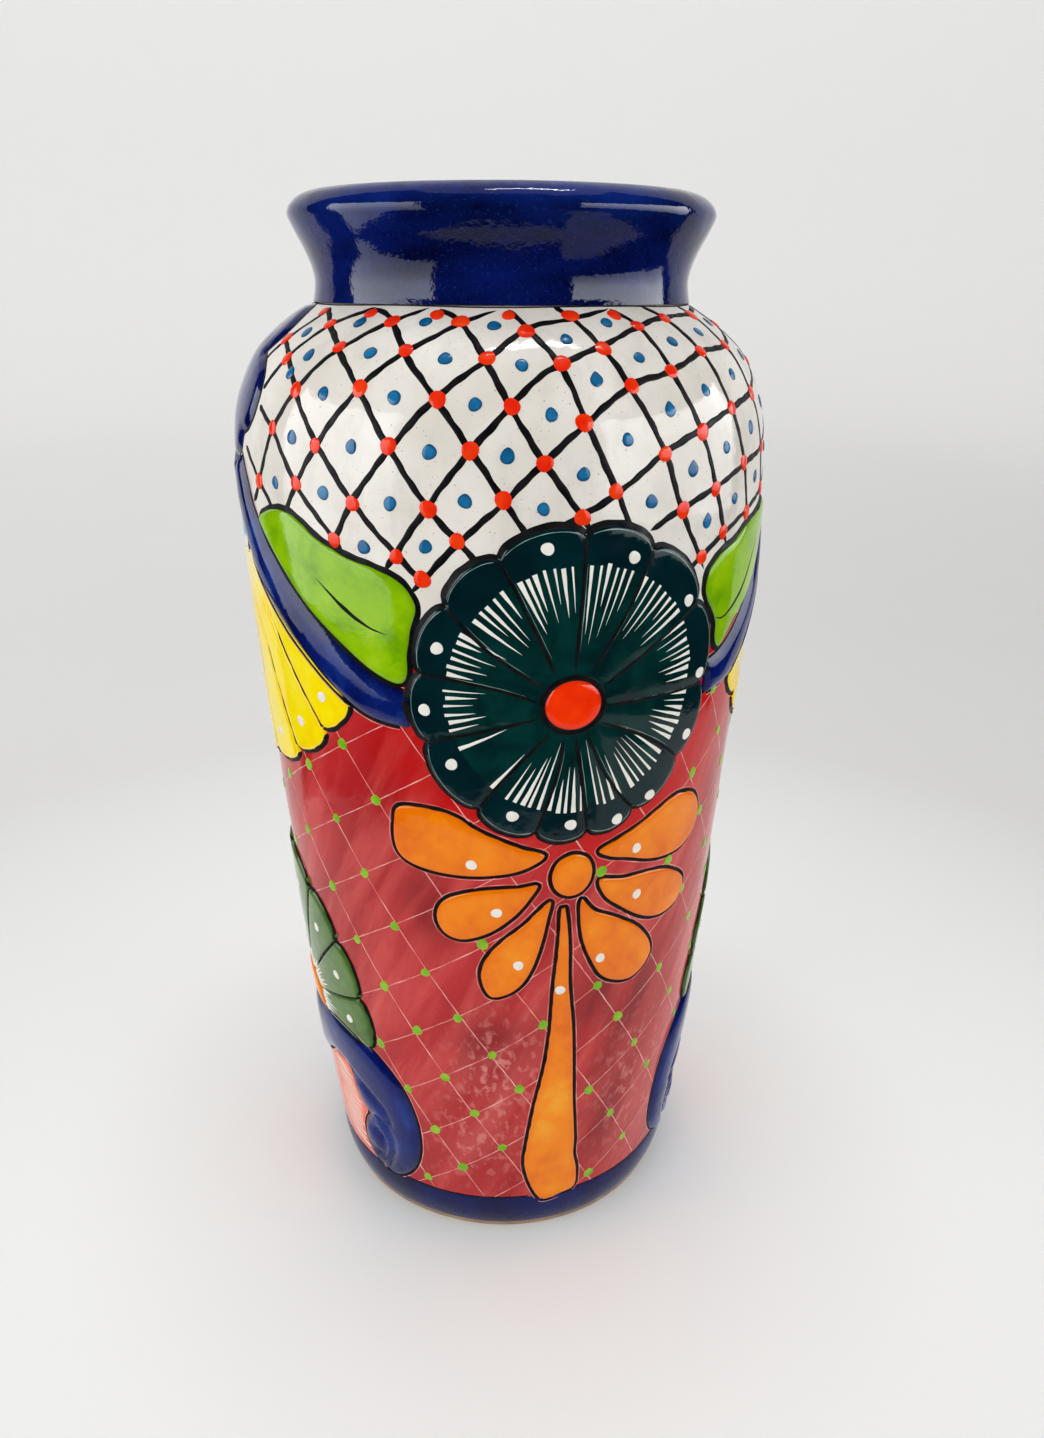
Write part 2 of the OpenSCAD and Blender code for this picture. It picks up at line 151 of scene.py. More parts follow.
def unevenness(az, z):
    """How far the hand-made wall wanders in and out, in millimetres."""
    a = np.radians(az)
    return (0.20 * np.sin(2 * a + z / 61) + 0.12 * np.sin(5 * a - z / 33 + 1.3)
            + 0.07 * np.sin(9 * a + z / 17 + 4) + 0.05 * np.sin(z / 7.3 + 3 * a))


def on_wall(az, z, lift=0.0):
    """Points in metres that stand lift millimetres off the glaze, straight out from its surface."""
    slope = np.interp(z, SKIN_Z, SKIN_SLOPE)
    out = 1 / np.sqrt(1 + slope**2)
    r = skin(z) + unevenness(az, z) + lift * out
    a = np.radians(az)
    return np.stack([r * np.sin(a), -r * np.cos(a), z - lift * slope * out], -1) * MM


# ---- Meshes ---------------------------------------------------------------------------------

# Points are measured in batches, to save memory.
BATCH = 2000


class Shape:
    """Points, faces and marks (one number per point for each name) that become one mesh.

    Outlines and paths are laid on the wall from its turn, the azimuth that their motif faces.
    """

    def __init__(self, turn=0):
        self.points, self.faces, self.marks, self.count = [], [], {}, 0
        self.turn = turn

    def add(self, points, faces, **marks):
        points = np.asarray(points, float).reshape(-1, 3)
        self.faces += [tuple(i + self.count for i in face) for face in faces]
        for name in set(self.marks) | set(marks):
            past = self.marks.setdefault(name, [0.0] * self.count)
            past += list(np.asarray(marks[name], float).ravel()) if name in marks else [0.0] * len(points)
        self.points.append(points)
        self.count += len(points)

    def build(self, name, material, slot, *stands_for, crease=50):
        piece = linked(name, np.vstack(self.points).tolist(), self.faces, material)
        mesh = piece.data
        mesh.validate()
        for mark, values in self.marks.items():
            mesh.attributes.new(mark, "FLOAT", "POINT").data.foreach_set("value", values)
        mesh.polygons.foreach_set("use_smooth", [True] * len(mesh.polygons))
        mesh.set_sharp_from_angle(angle=math.radians(crease))
        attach(piece, "root")
        if stands_for:
            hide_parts(*stands_for)
        return piece


def linked(name, points, faces, material):
    """A new object of one mesh, linked to the scene."""
    mesh = bpy.data.meshes.new(name)
    mesh.from_pydata(points, [], faces)
    mesh.materials.append(material)
    piece = bpy.data.objects.new(name, mesh)
    bpy.context.scene.collection.objects.link(piece)
    return piece


def ring_quads(rows, sides, first=0):
    """Quads between rows of points that each go all the way round, numbered from the first point."""
    return [(first + j * sides + i, first + j * sides + (i + 1) % sides,
             first + (j + 1) * sides + (i + 1) % sides, first + (j + 1) * sides + i)
            for j in range(rows - 1) for i in range(sides)]


def turned(node, material, slot, step=2.2, shades=None):
    """The node's own outline turned again, finely and with the wall's unevenness."""
    around = 300
    outline, closed = seam_outline(node)
    line = smooth(with_corners(outline, closed), step, closed)
    az = np.arange(around) * 360 / around
    r, z = line[:, 0][:, None], line[:, 1][:, None]
    r = r + unevenness(az, z) * np.clip((r - EVEN_WITHIN) / (UNEVEN_FROM - EVEN_WITHIN), 0, 1)
    a = np.radians(az)
    points = np.stack([r * np.sin(a), -r * np.cos(a), z + 0 * a], -1) * MM
    rows = len(line)
    poles = [] if closed else [0, rows - 1]
    faces = []
    index = np.arange(rows * around).reshape(rows, around)
    for p in poles:
        index[p] = index[p][0]
    for i in range(rows if closed else rows - 1):
        low, high = index[i], index[(i + 1) % rows]
        for j in range(around):
            ring = (low[j], low[(j + 1) % around], high[(j + 1) % around], high[j])
            faces.append(tuple(dict.fromkeys(ring)))
    if np.sum(line[:, 0] * np.gradient(line[:, 1])) < 0:
        faces = [face[::-1] for face in faces]
    shape = Shape()
    used = sorted(set(i for face in faces for i in face))
    renumber = {old: new for new, old in enumerate(used)}
    height = np.repeat(line[:, 1], around)[used]
    marks = shades(np.tile(az, rows)[used], height) if shades else {}
    faces = [[renumber[i] for i in face] for face in faces]
    shape.add(points.reshape(-1, 3)[used], faces, height=height, **marks)
    return shape.build(node.replace("clay", "fired_clay") + "_coat", material, slot, node, crease=40)


def line_distance(points, *lines):
    """Distance from each flat point to the nearest of some open lines."""
    best = np.full(len(points), 1e9)
    for line in lines:
        a, way = line[:-1], np.diff(line, axis=0)
        for i in range(0, len(points), BATCH):
            p = points[i:i + BATCH, None]
            t = np.clip(((p - a) * way).sum(-1) / (way**2).sum(-1), 0, 1)
            near = np.sqrt(((a + way * t[..., None] - p) ** 2).sum(-1)).min(1)
            best[i:i + BATCH] = np.minimum(best[i:i + BATCH], near)
    return best


def edge_distance(points, line):
    """Distance from each flat point to a closed flat line."""
    return line_distance(points, np.vstack([line, line[:1]]))


def inside(points, line):
    """Whether each flat point lies within a closed flat line."""
    a, b = line, np.roll(line, -1, axis=0)
    x, y = points[:, 0][:, None], points[:, 1][:, None]
    crosses = (a[:, 1] > y) != (b[:, 1] > y)
    run = np.where(np.abs(b[:, 1] - a[:, 1]) < 1e-12, 1e-12, b[:, 1] - a[:, 1])
    return (crosses & (x < a[:, 0] + (y - a[:, 1]) * (b[:, 0] - a[:, 0]) / run)).sum(1) % 2 == 1


def filled(line, spacing, rings=()):
    """Triangles over the area within a closed flat line, and the points that they join."""
    way = np.roll(line, -1, axis=0) - np.roll(line, 1, axis=0)
    inward = np.stack([-way[:, 1], way[:, 0]], -1) / np.linalg.norm(way, axis=1)[:, None]
    extra = []
    for far in rings:
        ring = line + inward * far
        ring = ring[inside(ring, line)]
        extra.append(ring[edge_distance(ring, line) > 0.93 * far])
    low, high = line.min(0), line.max(0)
    rows = np.arange(low[1] + spacing / 2, high[1], spacing * 0.87)
    grid = np.array([[x + (j % 2) * spacing / 2, y] for j, y in enumerate(rows)
                     for x in np.arange(low[0], high[0], spacing)]).reshape(-1, 2)
    if len(grid):
        grid = grid[inside(grid, line)]
        extra.append(grid[edge_distance(grid, line) > (max(rings) if rings else 0) + 0.55 * spacing])
    points = np.vstack([line] + extra)
    edges = [(i, (i + 1) % len(line)) for i in range(len(line))]
    made = delaunay_2d_cdt([Vector(p) for p in points], edges, [], 1, 1e-5)
    return np.array([v[:] for v in made[0]]), [tuple(f) for f in made[2]]


def anticlockwise(line):
    x, y = line[:, 0], line[:, 1]
    return line if np.sum(x * np.roll(y, -1) - np.roll(x, -1) * y) > 0 else line[::-1]


# A cushion's rim and underside lie a little under the glaze, and its top never thins to nothing.
ON_EDGE = 1e-4
CUSHION_SINK, THINNEST, UNDER_SPACING = 0.2, 0.05, 8.0


def cushion(shape, outline, height, roll=2.2, spacing=2.0, rise=None, step=1.4):
    """Adds a closed cushion over an outline of [azimuth, height] points.

    Its edge rolls over to full height within roll millimetres, and rise(az, z, edge) adds to that.
    """
    outline = np.array(outline, float)
    wide = per_degree(outline[:, 1].mean())
    line = anticlockwise(smooth(outline * [wide, 1], step, closed=True))
    tops, faces = filled(line, spacing, rings=(0.3 * roll, 0.65 * roll, 1.1 * roll))
    edge = edge_distance(tops, line)
    share = np.clip(edge / roll, 0, 1)
    az, z = tops[:, 0] / wide, tops[:, 1]
    lift = height * np.sqrt(1 - (1 - share) ** 2)
    if rise:
        lift = lift + rise(az, z, edge) * share
    lift = np.where(edge < ON_EDGE, -CUSHION_SINK, np.maximum(lift, THINNEST))
    unders, under_faces = filled(line, UNDER_SPACING)
    known = {tuple(np.round(p, 3)): i for i, p in enumerate(tops) if edge[i] < ON_EDGE}
    number, extra = [], []
    for p in unders:
        key = tuple(np.round(p, 3))
        if key not in known:
            known[key] = len(tops) + len(extra)
            extra.append(p)
        number.append(known[key])
    faces += [tuple(number[i] for i in face[::-1]) for face in under_faces]
    points = on_wall(az + shape.turn, z, lift)
    if extra:
        extra = np.array(extra)
        points = np.vstack([points, on_wall(extra[:, 0] / wide + shape.turn, extra[:, 1], -CUSHION_SINK)])
    marks = {"edge": edge, "az": az, "z": z}
    shape.add(points, faces, **{name: np.append(row, np.zeros(len(extra))) for name, row in marks.items()})


# ---- Paint ----------------------------------------------------------------------------------

# A bead's section: shares of its half width, and of its lift above or of the sink below.
BEAD = [(-1, -1), (-0.82, 0.55), (-0.4, 0.95), (0.4, 0.95), (0.82, 0.55), (1, -1)]
SINK = 0.12
FULL_TURN = 6.28
relief_tree = None


def lie_on_relief(shapes):
    """From here on paint lies on these shapes, where they stand proud of the wall."""
    global relief_tree
    points, faces, count = [], [], 0
    for shape in shapes:
        points += np.vstack(shape.points).tolist()
        faces += [tuple(i + count for i in face) for face in shape.faces]
        count += shape.count
    relief_tree = BVHTree.FromPolygons(points, faces)


def relief_lift(az, z):
    """How far the relief stands off the wall at each place, or 0 where there is none."""
    lift = np.zeros(np.shape(az))
    if relief_tree is None:
        return lift
    base = on_wall(az, z)
    reach = 12 * MM
    for i in np.ndindex(lift.shape):
        out = Vector((math.sin(math.radians(az[i])), -math.cos(math.radians(az[i])), 0))
        hit = relief_tree.ray_cast(Vector(base[i]) + out * reach, -out, reach)
        if hit[0] is not None:
            lift[i] = max(0.0, (reach - hit[3]) / MM)
    return lift * (1 / np.sqrt(1 + np.interp(z, SKIN_Z, SKIN_SLOPE) ** 2))


def ripple(s, size):
    """Smooth random numbers along s, about -size to size."""
    return size * sum(np.sin(s / length + chance.uniform(0, FULL_TURN)) for length in (1.1, 2.6, 6.3)) / 2


def surface_size(z):
    """Millimetres on the wall's surface for a degree of azimuth and for a millimetre of height."""
    slope = np.interp(z, SKIN_Z, SKIN_SLOPE)
    return np.stack([math.radians(1) * skin(z), np.sqrt(1 + slope**2)], -1)


def bead(shape, path, width, lift=0.2, taper=(0.0, 0.0), wander=0.1, step=1.3, proud=True, blunt=False):
    """Adds a brushed line along [azimuth, height] points. Taper is the share that thins at each end."""
    path = np.array(path, float)
    middle = per_degree(path[:, 1].mean())
    line = smooth(path * [middle, 1], step) / [middle, 1]
    if len(line) < 3:
        line = np.array([line[0], (line[0] + line[-1]) / 2, line[-1]])
    size = surface_size(line[:, 1])
    way = np.gradient(line, axis=0) * size
    way /= np.maximum(np.linalg.norm(way, axis=1), 1e-9)[:, None]
    along = np.append(0, np.cumsum(np.linalg.norm(np.diff(line, axis=0) * size[1:], axis=1)))
    length = along[-1]
    half = width / 2 * (1 + ripple(along, wander))
    side = np.stack([-way[:, 1], way[:, 0]], -1) / size
    line = line + side * ripple(along, 0.5 * wander * width)[:, None]
    for s, share in ((along, taper[0]), (length - along, taper[1])):
        reach = max(share * length, 0.1 if blunt else 0.5 * width)
        t = np.clip((s + 0.12) / reach, 0, 1)
        half = half * (t**0.8 if share else np.sqrt(1 - (1 - t) ** 2))
    section = np.array(BEAD)
    flat = line[:, None] + side[:, None] * (section[:, 0][:, None] * half[:, None, None])
    az, z = flat[..., 0] + shape.turn, flat[..., 1]
    tall = section[:, 1] * lift * np.clip(half / width * 3, 0.35, 1)[:, None]
    tall = np.where(section[:, 1] < 0, -SINK, tall)
    points = on_wall(az, z, tall + (relief_lift(az, z) if proud else 0))
    rows, sides = points.shape[:2]
    faces = ring_quads(rows, sides)
    faces += [tuple(range(sides))[::-1], tuple(range((rows - 1) * sides, rows * sides))]
    shape.add(points, [face[::-1] for face in faces])


def dot(shape, az, z, radius, lift=0.45, drip=0.0, proud=True):
    """Adds a round drop of paint. A drip pulls its top out to a point."""
    sides = 16
    a = np.arange(sides) * 2 * math.pi / sides
    wobble = 1 + 0.05 * np.sin(2 * a + chance.uniform(0, FULL_TURN))
    wobble += 0.04 * np.sin(3 * a + chance.uniform(0, FULL_TURN))
    rings = [(1, -SINK), (0.95, 0.45 * lift), (0.7, 0.85 * lift), (0.35, lift)]
    wide, tall = surface_size(z)
    out = np.outer([share for share, _ in rings], radius * wobble)
    x = np.append(out * np.cos(a) / wide, [0, 0])
    y = np.append(out * np.sin(a) * (1 + drip * np.clip(np.sin(a), 0, 1) ** 6) / tall, [0, 0])
    lifts = np.append(np.repeat([h for _, h in rings], sides), [lift, -SINK])
    spot_az, spot_z = az + shape.turn + x, z + y
    points = on_wall(spot_az, spot_z, lifts + (relief_lift(spot_az, spot_z) if proud else 0))
    faces = ring_quads(len(rings), sides)
    top, under = len(rings) * sides, len(rings) * sides + 1
    last = (len(rings) - 1) * sides
    faces += [(last + i, last + (i + 1) % sides, top) for i in range(sides)]
    faces += [((i + 1) % sides, i, under) for i in range(sides)]
    shape.add(points, faces, rim=np.append(np.repeat([share for share, _ in rings], sides), [0, 0]))


# ---- Materials ------------------------------------------------------------------------------


GLAZE_IOR = 1.33


class Recipe:
    """A node material, with short calls for the nodes that the glazes share."""

    def __init__(self, name):
        self.material = bpy.data.materials.new(name)
        self.material.use_nodes = True
        self.tree = self.material.node_tree
        self.tree.nodes.clear()
        self.place = self.node("ShaderNodeTexCoord").outputs["Object"]

    def node(self, kind, **settings):
        made = self.tree.nodes.new(kind)
        for key, value in settings.items():
            setattr(made, key, value)
        return made

    def link(self, source, target):
        if isinstance(source, bpy.types.NodeSocket):
            self.tree.links.new(source, target)
        else:
            target.default_value = source

    def noise(self, per_metre, stretch=(1, 1, 1), detail=3.0, roughness=0.5, distortion=0.0, place=None):
        mapping = self.node("ShaderNodeMapping")
        mapping.inputs["Scale"].default_value = stretch
        self.link(place or self.place, mapping.inputs["Vector"])
        made = self.node("ShaderNodeTexNoise")
        self.link(mapping.outputs["Vector"], made.inputs["Vector"])
        made.inputs["Scale"].default_value = per_metre
        made.inputs["Detail"].default_value = detail
        made.inputs["Roughness"].default_value = roughness
        made.inputs["Distortion"].default_value = distortion
        return made.outputs["Fac"]

    def mark(self, name):
        return self.node("ShaderNodeAttribute", attribute_name=name).outputs["Fac"]

    def scale(self, value, low, high, to_low=0.0, to_high=1.0):
        made = self.node("ShaderNodeMapRange")
        self.link(value, made.inputs["Value"])
        for key, number in zip(("From Min", "From Max", "To Min", "To Max"), (low, high, to_low, to_high)):
            made.inputs[key].default_value = number
        return made.outputs["Result"]

    def grain(self, per_metre, low, high, to_low=0.0, to_high=1.0, **more):
        """Noise with its values from low to high spread over another range."""
        return self.scale(self.noise(per_metre, **more), low, high, to_low, to_high)

    def combine(self, operation, a, b):
        made = self.node("ShaderNodeMath", operation=operation)
        self.link(a, made.inputs[0])
        self.link(b, made.inputs[1])
        return made.outputs[0]

    def sum(self, a, b):
        return self.combine("ADD", a, b)

    def times(self, a, b):
        return self.combine("MULTIPLY", a, b)

    def swell(self, broad, fine, share=0.12):
        """Height for a brushed glaze: broad swelling with a share of fine ripple on it."""
        return self.sum(self.noise(broad, detail=2), self.times(self.noise(fine, detail=2), share))

    def mix(self, share, a, b):
        made = self.node("ShaderNodeMix", data_type="RGBA")
        self.link(share, made.inputs[0])
        self.link(a if isinstance(a, bpy.types.NodeSocket) else (*a, 1), made.inputs[6])
        self.link(b if isinstance(b, bpy.types.NodeSocket) else (*b, 1), made.inputs[7])
        return made.outputs[2]

    def finish(self, colour, rough, height=None, depth=0.05, ior=GLAZE_IOR):
        shader = self.node("ShaderNodeBsdfPrincipled")
        self.link(colour, shader.inputs["Base Color"])
        self.link(rough, shader.inputs["Roughness"])
        shader.inputs["IOR"].default_value = ior
        if height is not None:
            bump = self.node("ShaderNodeBump")
            bump.inputs["Strength"].default_value = 1.0
            bump.inputs["Distance"].default_value = depth * MM
            self.link(height, bump.inputs["Height"])
            self.link(bump.outputs["Normal"], shader.inputs["Normal"])
        out = self.node("ShaderNodeOutputMaterial")
        self.link(shader.outputs[0], out.inputs["Surface"])
        return self.material


def glaze(name, deep, plain, pale, brush=(1, 1, 1), strokes=60, pooled_and_shaded=True, rough=0.07, specks=0.0,
          whitens=0):
    """A glossy brushed glaze: deep where it pools at an outline, partly painted shade, and pale where the
    brush left it thin.

    It can also whiten towards a motif's centre, from the given distance inwards.
    """
    r = Recipe(name)
    clouds = r.grain(22, 0.3, 0.7, stretch=brush, detail=4)
    streaks = r.grain(strokes, 0.32, 0.68, stretch=brush, detail=5, roughness=0.6, distortion=0.3)
    tone = r.sum(r.times(clouds, 0.5), r.times(streaks, 0.5))
    colour = r.mix(r.scale(tone, 0.15, 0.55), deep, plain)
    colour = r.mix(r.scale(tone, 0.6, 0.95, 0, 0.8), colour, pale)
    # Pooled glaze and painted shade: darker near a cushion's outline.
    if pooled_and_shaded:
        colour = r.mix(r.scale(r.mark("edge"), 0.6, 3.2, 0.55, 0.0), colour, deep)
    if specks:
        spots = r.grain(900, 0.62, 0.72, 0, specks, detail=2)
        colour = r.mix(spots, colour, pale)
    if whitens:
        colour = r.mix(r.scale(r.mark("out"), whitens, whitens + 20, 0.7, 0), colour, (0.93, 0.90, 0.60))
    skin_rough = r.grain(140, 0.3, 0.7, rough * 0.7, rough * 1.5)
    swell = r.swell(70, 520)
    return r.finish(colour, skin_rough, swell, depth=0.35)


def paint(name, colour, other, rough=0.14, rimmed=False, ior=GLAZE_IOR):
    """Paint laid on in beads and dots, uneven in thickness."""
    r = Recipe(name)
    tone = r.grain(160, 0.35, 0.7, detail=4)
    mixed = r.mix(tone, colour, other)
    if rimmed:
        mixed = r.mix(r.scale(r.mark("rim"), 0.6, 1.0, 0.0, 0.75), mixed, tuple(c * 0.35 for c in colour))
    rough = r.grain(300, 0.3, 0.7, rough * 0.6, rough * 1.6)
    return r.finish(mixed, rough, r.noise(420), depth=0.12, ior=ior)


def cobalt_collar():
    r = Recipe("cobalt_speckled")
    tone = r.grain(17, 0.36, 0.64, stretch=(1, 1, 3.2), detail=5)
    colour = r.mix(tone, (0.0003, 0.0008, 0.012), (0.002, 0.009, 0.115))
    fine = r.grain(1100, 0.6, 0.74, 0, 0.5, detail=2)
    colour = r.mix(fine, colour, (0.012, 0.035, 0.22))
    dark = r.grain(620, 0.62, 0.7, 0, 0.55, detail=2)
    colour = r.mix(dark, colour, (0.001, 0.001, 0.02))
    thin = r.times(r.scale(r.mark("height"), 386, 396, 0, 0.6), r.grain(32, 0.35, 0.6))
    colour = r.mix(thin, colour, (0.006, 0.03, 0.26))
    worn = r.times(r.scale(r.mark("height"), 397.5, 400, 0, 0.3), r.grain(240, 0.42, 0.62))
    colour = r.mix(worn, colour, (0.12, 0.16, 0.36))
    swell = r.swell(55, 700, 0.10)
    return r.finish(colour, r.grain(200, 0.3, 0.7, 0.03, 0.08), swell, depth=0.4)


def cream_field():
    r = Recipe("cream_glaze_brushed")
    clouds = r.grain(30, 0.32, 0.7, detail=5)
    colour = r.mix(clouds, (0.72, 0.68, 0.615), (0.87, 0.845, 0.795))
    grey = r.grain(75, 0.5, 0.8, 0, 0.5, stretch=(1, 1, 0.5), detail=6, roughness=0.65)
    colour = r.mix(grey, colour, (0.50, 0.46, 0.42))
    pin = r.grain(1300, 0.735, 0.77, 0, 0.8, detail=1)
    colour = r.mix(pin, colour, (0.25, 0.20, 0.16))
    swell = r.swell(60, 480)
    return r.finish(colour, r.grain(150, 0.3, 0.7, 0.03, 0.09), swell, depth=0.4)


def red_shades(az, z):
    """Where the red lies thick beside a flower, was washed thin low down, and is left dark in strokes."""
    x = ((az + 90) % 180 - 90) * math.radians(1) * skin(z)

    def patch(x0, z0, wide, tall):
        return np.exp(-((x - x0) / wide) ** 2 - ((z - z0) / tall) ** 2)

    thick = np.clip(1.25 - (np.hypot(x - 1.5, z - 248) - 57) / 18, 0, 1)
    washed = patch(-22, 92, 15, 24) + 0.7 * patch(-30, 50, 18, 22) + 0.7 * patch(38, 66, 18, 36)
    dark = patch(26, 116, 24, 20) + patch(-25, 103, 15, 12) + patch(-46, 166, 12, 15)
    dark += 0.8 * patch(22, 62, 14, 30)
    return {"thick": thick, "washed": np.clip(washed, 0, 1), "dark": np.clip(dark, 0, 1)}


def red_field():
    r = Recipe("crimson_brushed")
    lean = r.node("ShaderNodeVectorRotate", rotation_type="Z_AXIS")
    r.link(r.place, lean.inputs["Vector"])
    r.link(r.times(r.mark("height"), -0.006), lean.inputs["Angle"])
    lean = lean.outputs[0]
    clouds = r.grain(15, 0.40, 0.60, stretch=(1, 1, 0.5), detail=4, place=lean)
    colour = r.mix(clouds, (0.40, 0.012, 0.015), (0.58, 0.030, 0.032))
    streaks = r.grain(70, 0.42, 0.68, 0, 0.75, stretch=(1, 1, 0.20), detail=5, roughness=0.62,
                      distortion=0.4, place=lean)
    colour = r.mix(streaks, colour, (0.72, 0.095, 0.085))
    strokes = r.grain(46, 0.34, 0.54, stretch=(1, 1, 0.3), detail=4, distortion=0.5, place=lean)
    shade = r.times(r.scale(r.mark("dark"), 0, 0.8, 0.15, 1.0), strokes)
    colour = r.mix(shade, colour, (0.24, 0.006, 0.010))
    colour = r.mix(r.times(r.mark("washed"), 0.7), colour, (0.33, 0.016, 0.020))
    wide_wash = r.grain(70, 0.44, 0.64, 0, 0.5, stretch=(1, 1, 0.25), detail=5, place=lean)
    colour = r.mix(r.times(wide_wash, r.mark("washed")), colour, (0.66, 0.13, 0.12))
    drops = r.grain(300, 0.53, 0.65, 0, 0.7, stretch=(1, 1, 0.65), distortion=0.3)
    colour = r.mix(r.times(drops, r.mark("washed")), colour, (0.76, 0.27, 0.24))
    thick = r.times(r.mark("thick"), r.grain(40, 0.25, 0.6, 0.35, 1.0, place=lean))
    colour = r.mix(thick, colour, (0.54, 0.002, 0.002))
    swell = r.swell(50, 430)
    return r.finish(colour, r.grain(120, 0.3, 0.7, 0.07, 0.17), swell, depth=0.45)


def fan_heart():
    """Yellow in the middle, then a ring of light blue and a ring of white."""
    r = Recipe("heart_glaze")
    out = r.sum(r.mark("out"), r.grain(90, 0.3, 0.7, -1.2, 1.2, detail=4))
    tone = r.grain(70, 0.35, 0.65, detail=4)
    colour = r.mix(tone, (0.93, 0.60, 0.002), (0.97, 0.76, 0.02))
    colour = r.mix(r.scale(out, 13, 14), colour, r.mix(tone, (0.16, 0.42, 0.62), (0.36, 0.60, 0.72)))
    colour = r.mix(r.scale(out, 26, 27.5), colour, r.mix(tone, (0.74, 0.72, 0.66), (0.86, 0.84, 0.79)))
    return r.finish(colour, r.grain(150, 0.3, 0.7, 0.06, 0.14), r.noise(70, detail=2), depth=0.35)


def teal_petals():
    r = Recipe("teal_glaze")
    streaks = r.grain(90, 0.35, 0.7, detail=5, distortion=0.6)
    inner = r.mix(streaks, (0.0005, 0.014, 0.015), (0.001, 0.034, 0.031))
    outer = r.mix(r.grain(60, 0.3, 0.7), (0.0003, 0.010, 0.014), (0.0005, 0.018, 0.023))
    colour = r.mix(r.scale(r.mark("out"), 42.4, 43.4), inner, outer)
    swell = r.swell(60, 480)
    return r.finish(colour, r.grain(150, 0.3, 0.7, 0.05, 0.13), swell, depth=0.35)


def bare_clay():
    r = Recipe("fired_clay")
    tone = r.grain(90, 0.3, 0.7, detail=6, roughness=0.65)
    colour = r.mix(tone, (0.30, 0.19, 0.12), (0.46, 0.32, 0.22))
    grit = r.grain(1400, 0.6, 0.7, 0, 0.6, detail=2)
    colour = r.mix(grit, colour, (0.22, 0.11, 0.06))
    return r.finish(colour, r.grain(300, 0.3, 0.7, 0.7, 0.95), r.noise(1000, detail=5), depth=0.3)


COBALT = glaze("cobalt_glaze", (0.0005, 0.001, 0.04), (0.002, 0.010, 0.13), (0.012, 0.05, 0.30),
               brush=(1, 1, 0.6), rough=0.08, specks=0.25)
LIME = glaze("leaf_green_glaze", (0.13, 0.33, 0.001), (0.265, 0.52, 0.001), (0.38, 0.62, 0.015), strokes=90)
ORANGE = glaze("orange_glaze", (0.80, 0.15, 0.001), (0.92, 0.24, 0.001), (0.95, 0.42, 0.02), strokes=80)
YELLOW = glaze("yellow_glaze", (0.96, 0.62, 0.001), (0.98, 0.78, 0.001), (0.98, 0.86, 0.06), strokes=80,
               whitens=34)
GREEN = glaze("dark_green_glaze", (0.03, 0.09, 0.008), (0.085, 0.18, 0.03), (0.14, 0.26, 0.06), strokes=80)
HEART = fan_heart()
CORAL = glaze("coral_glaze", (0.74, 0.10, 0.04), (0.90, 0.17, 0.09), (0.94, 0.30, 0.18))
RED_ORANGE = glaze("red_orange_glaze", (0.84, 0.020, 0.001), (0.95, 0.040, 0.001), (0.97, 0.12, 0.004),
                   strokes=120)
INSIDE = glaze("inside_glaze", (0.55, 0.46, 0.36), (0.70, 0.64, 0.55), (0.78, 0.74, 0.67), pooled_and_shaded=False)
TEAL = teal_petals()
CLAY = bare_clay()
BLACK = paint("black_paint", (0.003, 0.003, 0.004), (0.010, 0.010, 0.011), rough=0.4, ior=1.15)
WHITE = paint("white_paint", (0.88, 0.86, 0.80), (0.78, 0.75, 0.69))
SCRATCH = paint("thin_glaze_line", (0.82, 0.46, 0.42), (0.66, 0.15, 0.14))
PALE_LINE = paint("pale_line", (0.30, 0.42, 0.38), (0.12, 0.22, 0.20))
RED_DOTS = paint("red_dots", (0.82, 0.016, 0.001), (0.90, 0.05, 0.003))
BLUE_DOTS = paint("blue_dots", (0.003, 0.10, 0.25), (0.015, 0.18, 0.40), rimmed=True)
GREEN_DOTS = paint("green_dots", (0.16, 0.42, 0.003), (0.32, 0.56, 0.03))

# ---- Coats ----------------------------------------------------------------------------------

turned("clay_body", CLAY, "bare_clay", step=4)
turned("clay_collar", CLAY, "bare_clay", step=3)
turned("inner_glaze", INSIDE, "inside_glaze", step=4)
turned("collar_glaze", cobalt_collar(), "cobalt_glaze", step=1.0)
turned("shoulder_glaze", cream_field(), "cream_glaze")
turned("red_glaze", red_field(), "red_glaze", shades=red_shades)
turned("foot_glaze", COBALT, "cobalt_glaze")

# ---- Relief ---------------------------------------------------------------------------------

FRONT, BACK, LEFT, RIGHT = 0, 180, -90, 90


def polar(centre, radius, angle):
    """The [azimuth, height] of a point at a distance and angle from a centre, in millimetres."""
    z = centre[1] + radius * math.sin(math.radians(angle))
    return [centre[0] + radius * math.cos(math.radians(angle)) / per_degree(z), z]


def lobe(t):
    """How far a petal's round end has swelled, 0 to 1, a share t of the way across it."""
    return math.sqrt(max(0, math.sin(math.pi * t)))


def mix(a, b, t):
    return [p + (q - p) * t for p, q in zip(a, b)]


def mirrored(outline):
    """A right half outline, from bottom to top, with its mirror image."""
    return [list(p) for p in outline] + [[-p[0], p[1]] for p in outline[::-1] if abs(p[0]) > 0.01]


def moved_out(outline, by):
    """A closed outline grown outwards by a distance in millimetres."""
    outline = np.array(outline, float)
    wide = per_degree(outline[:, 1].mean())
    line = anticlockwise(smooth(outline * [wide, 1], 2.0, closed=True))
    way = np.roll(line, -1, axis=0) - np.roll(line, 1, axis=0)
    outward = np.stack([way[:, 1], -way[:, 0]], -1) / np.linalg.norm(way, axis=1)[:, None]
    return (line + outward * by) / [wide, 1]


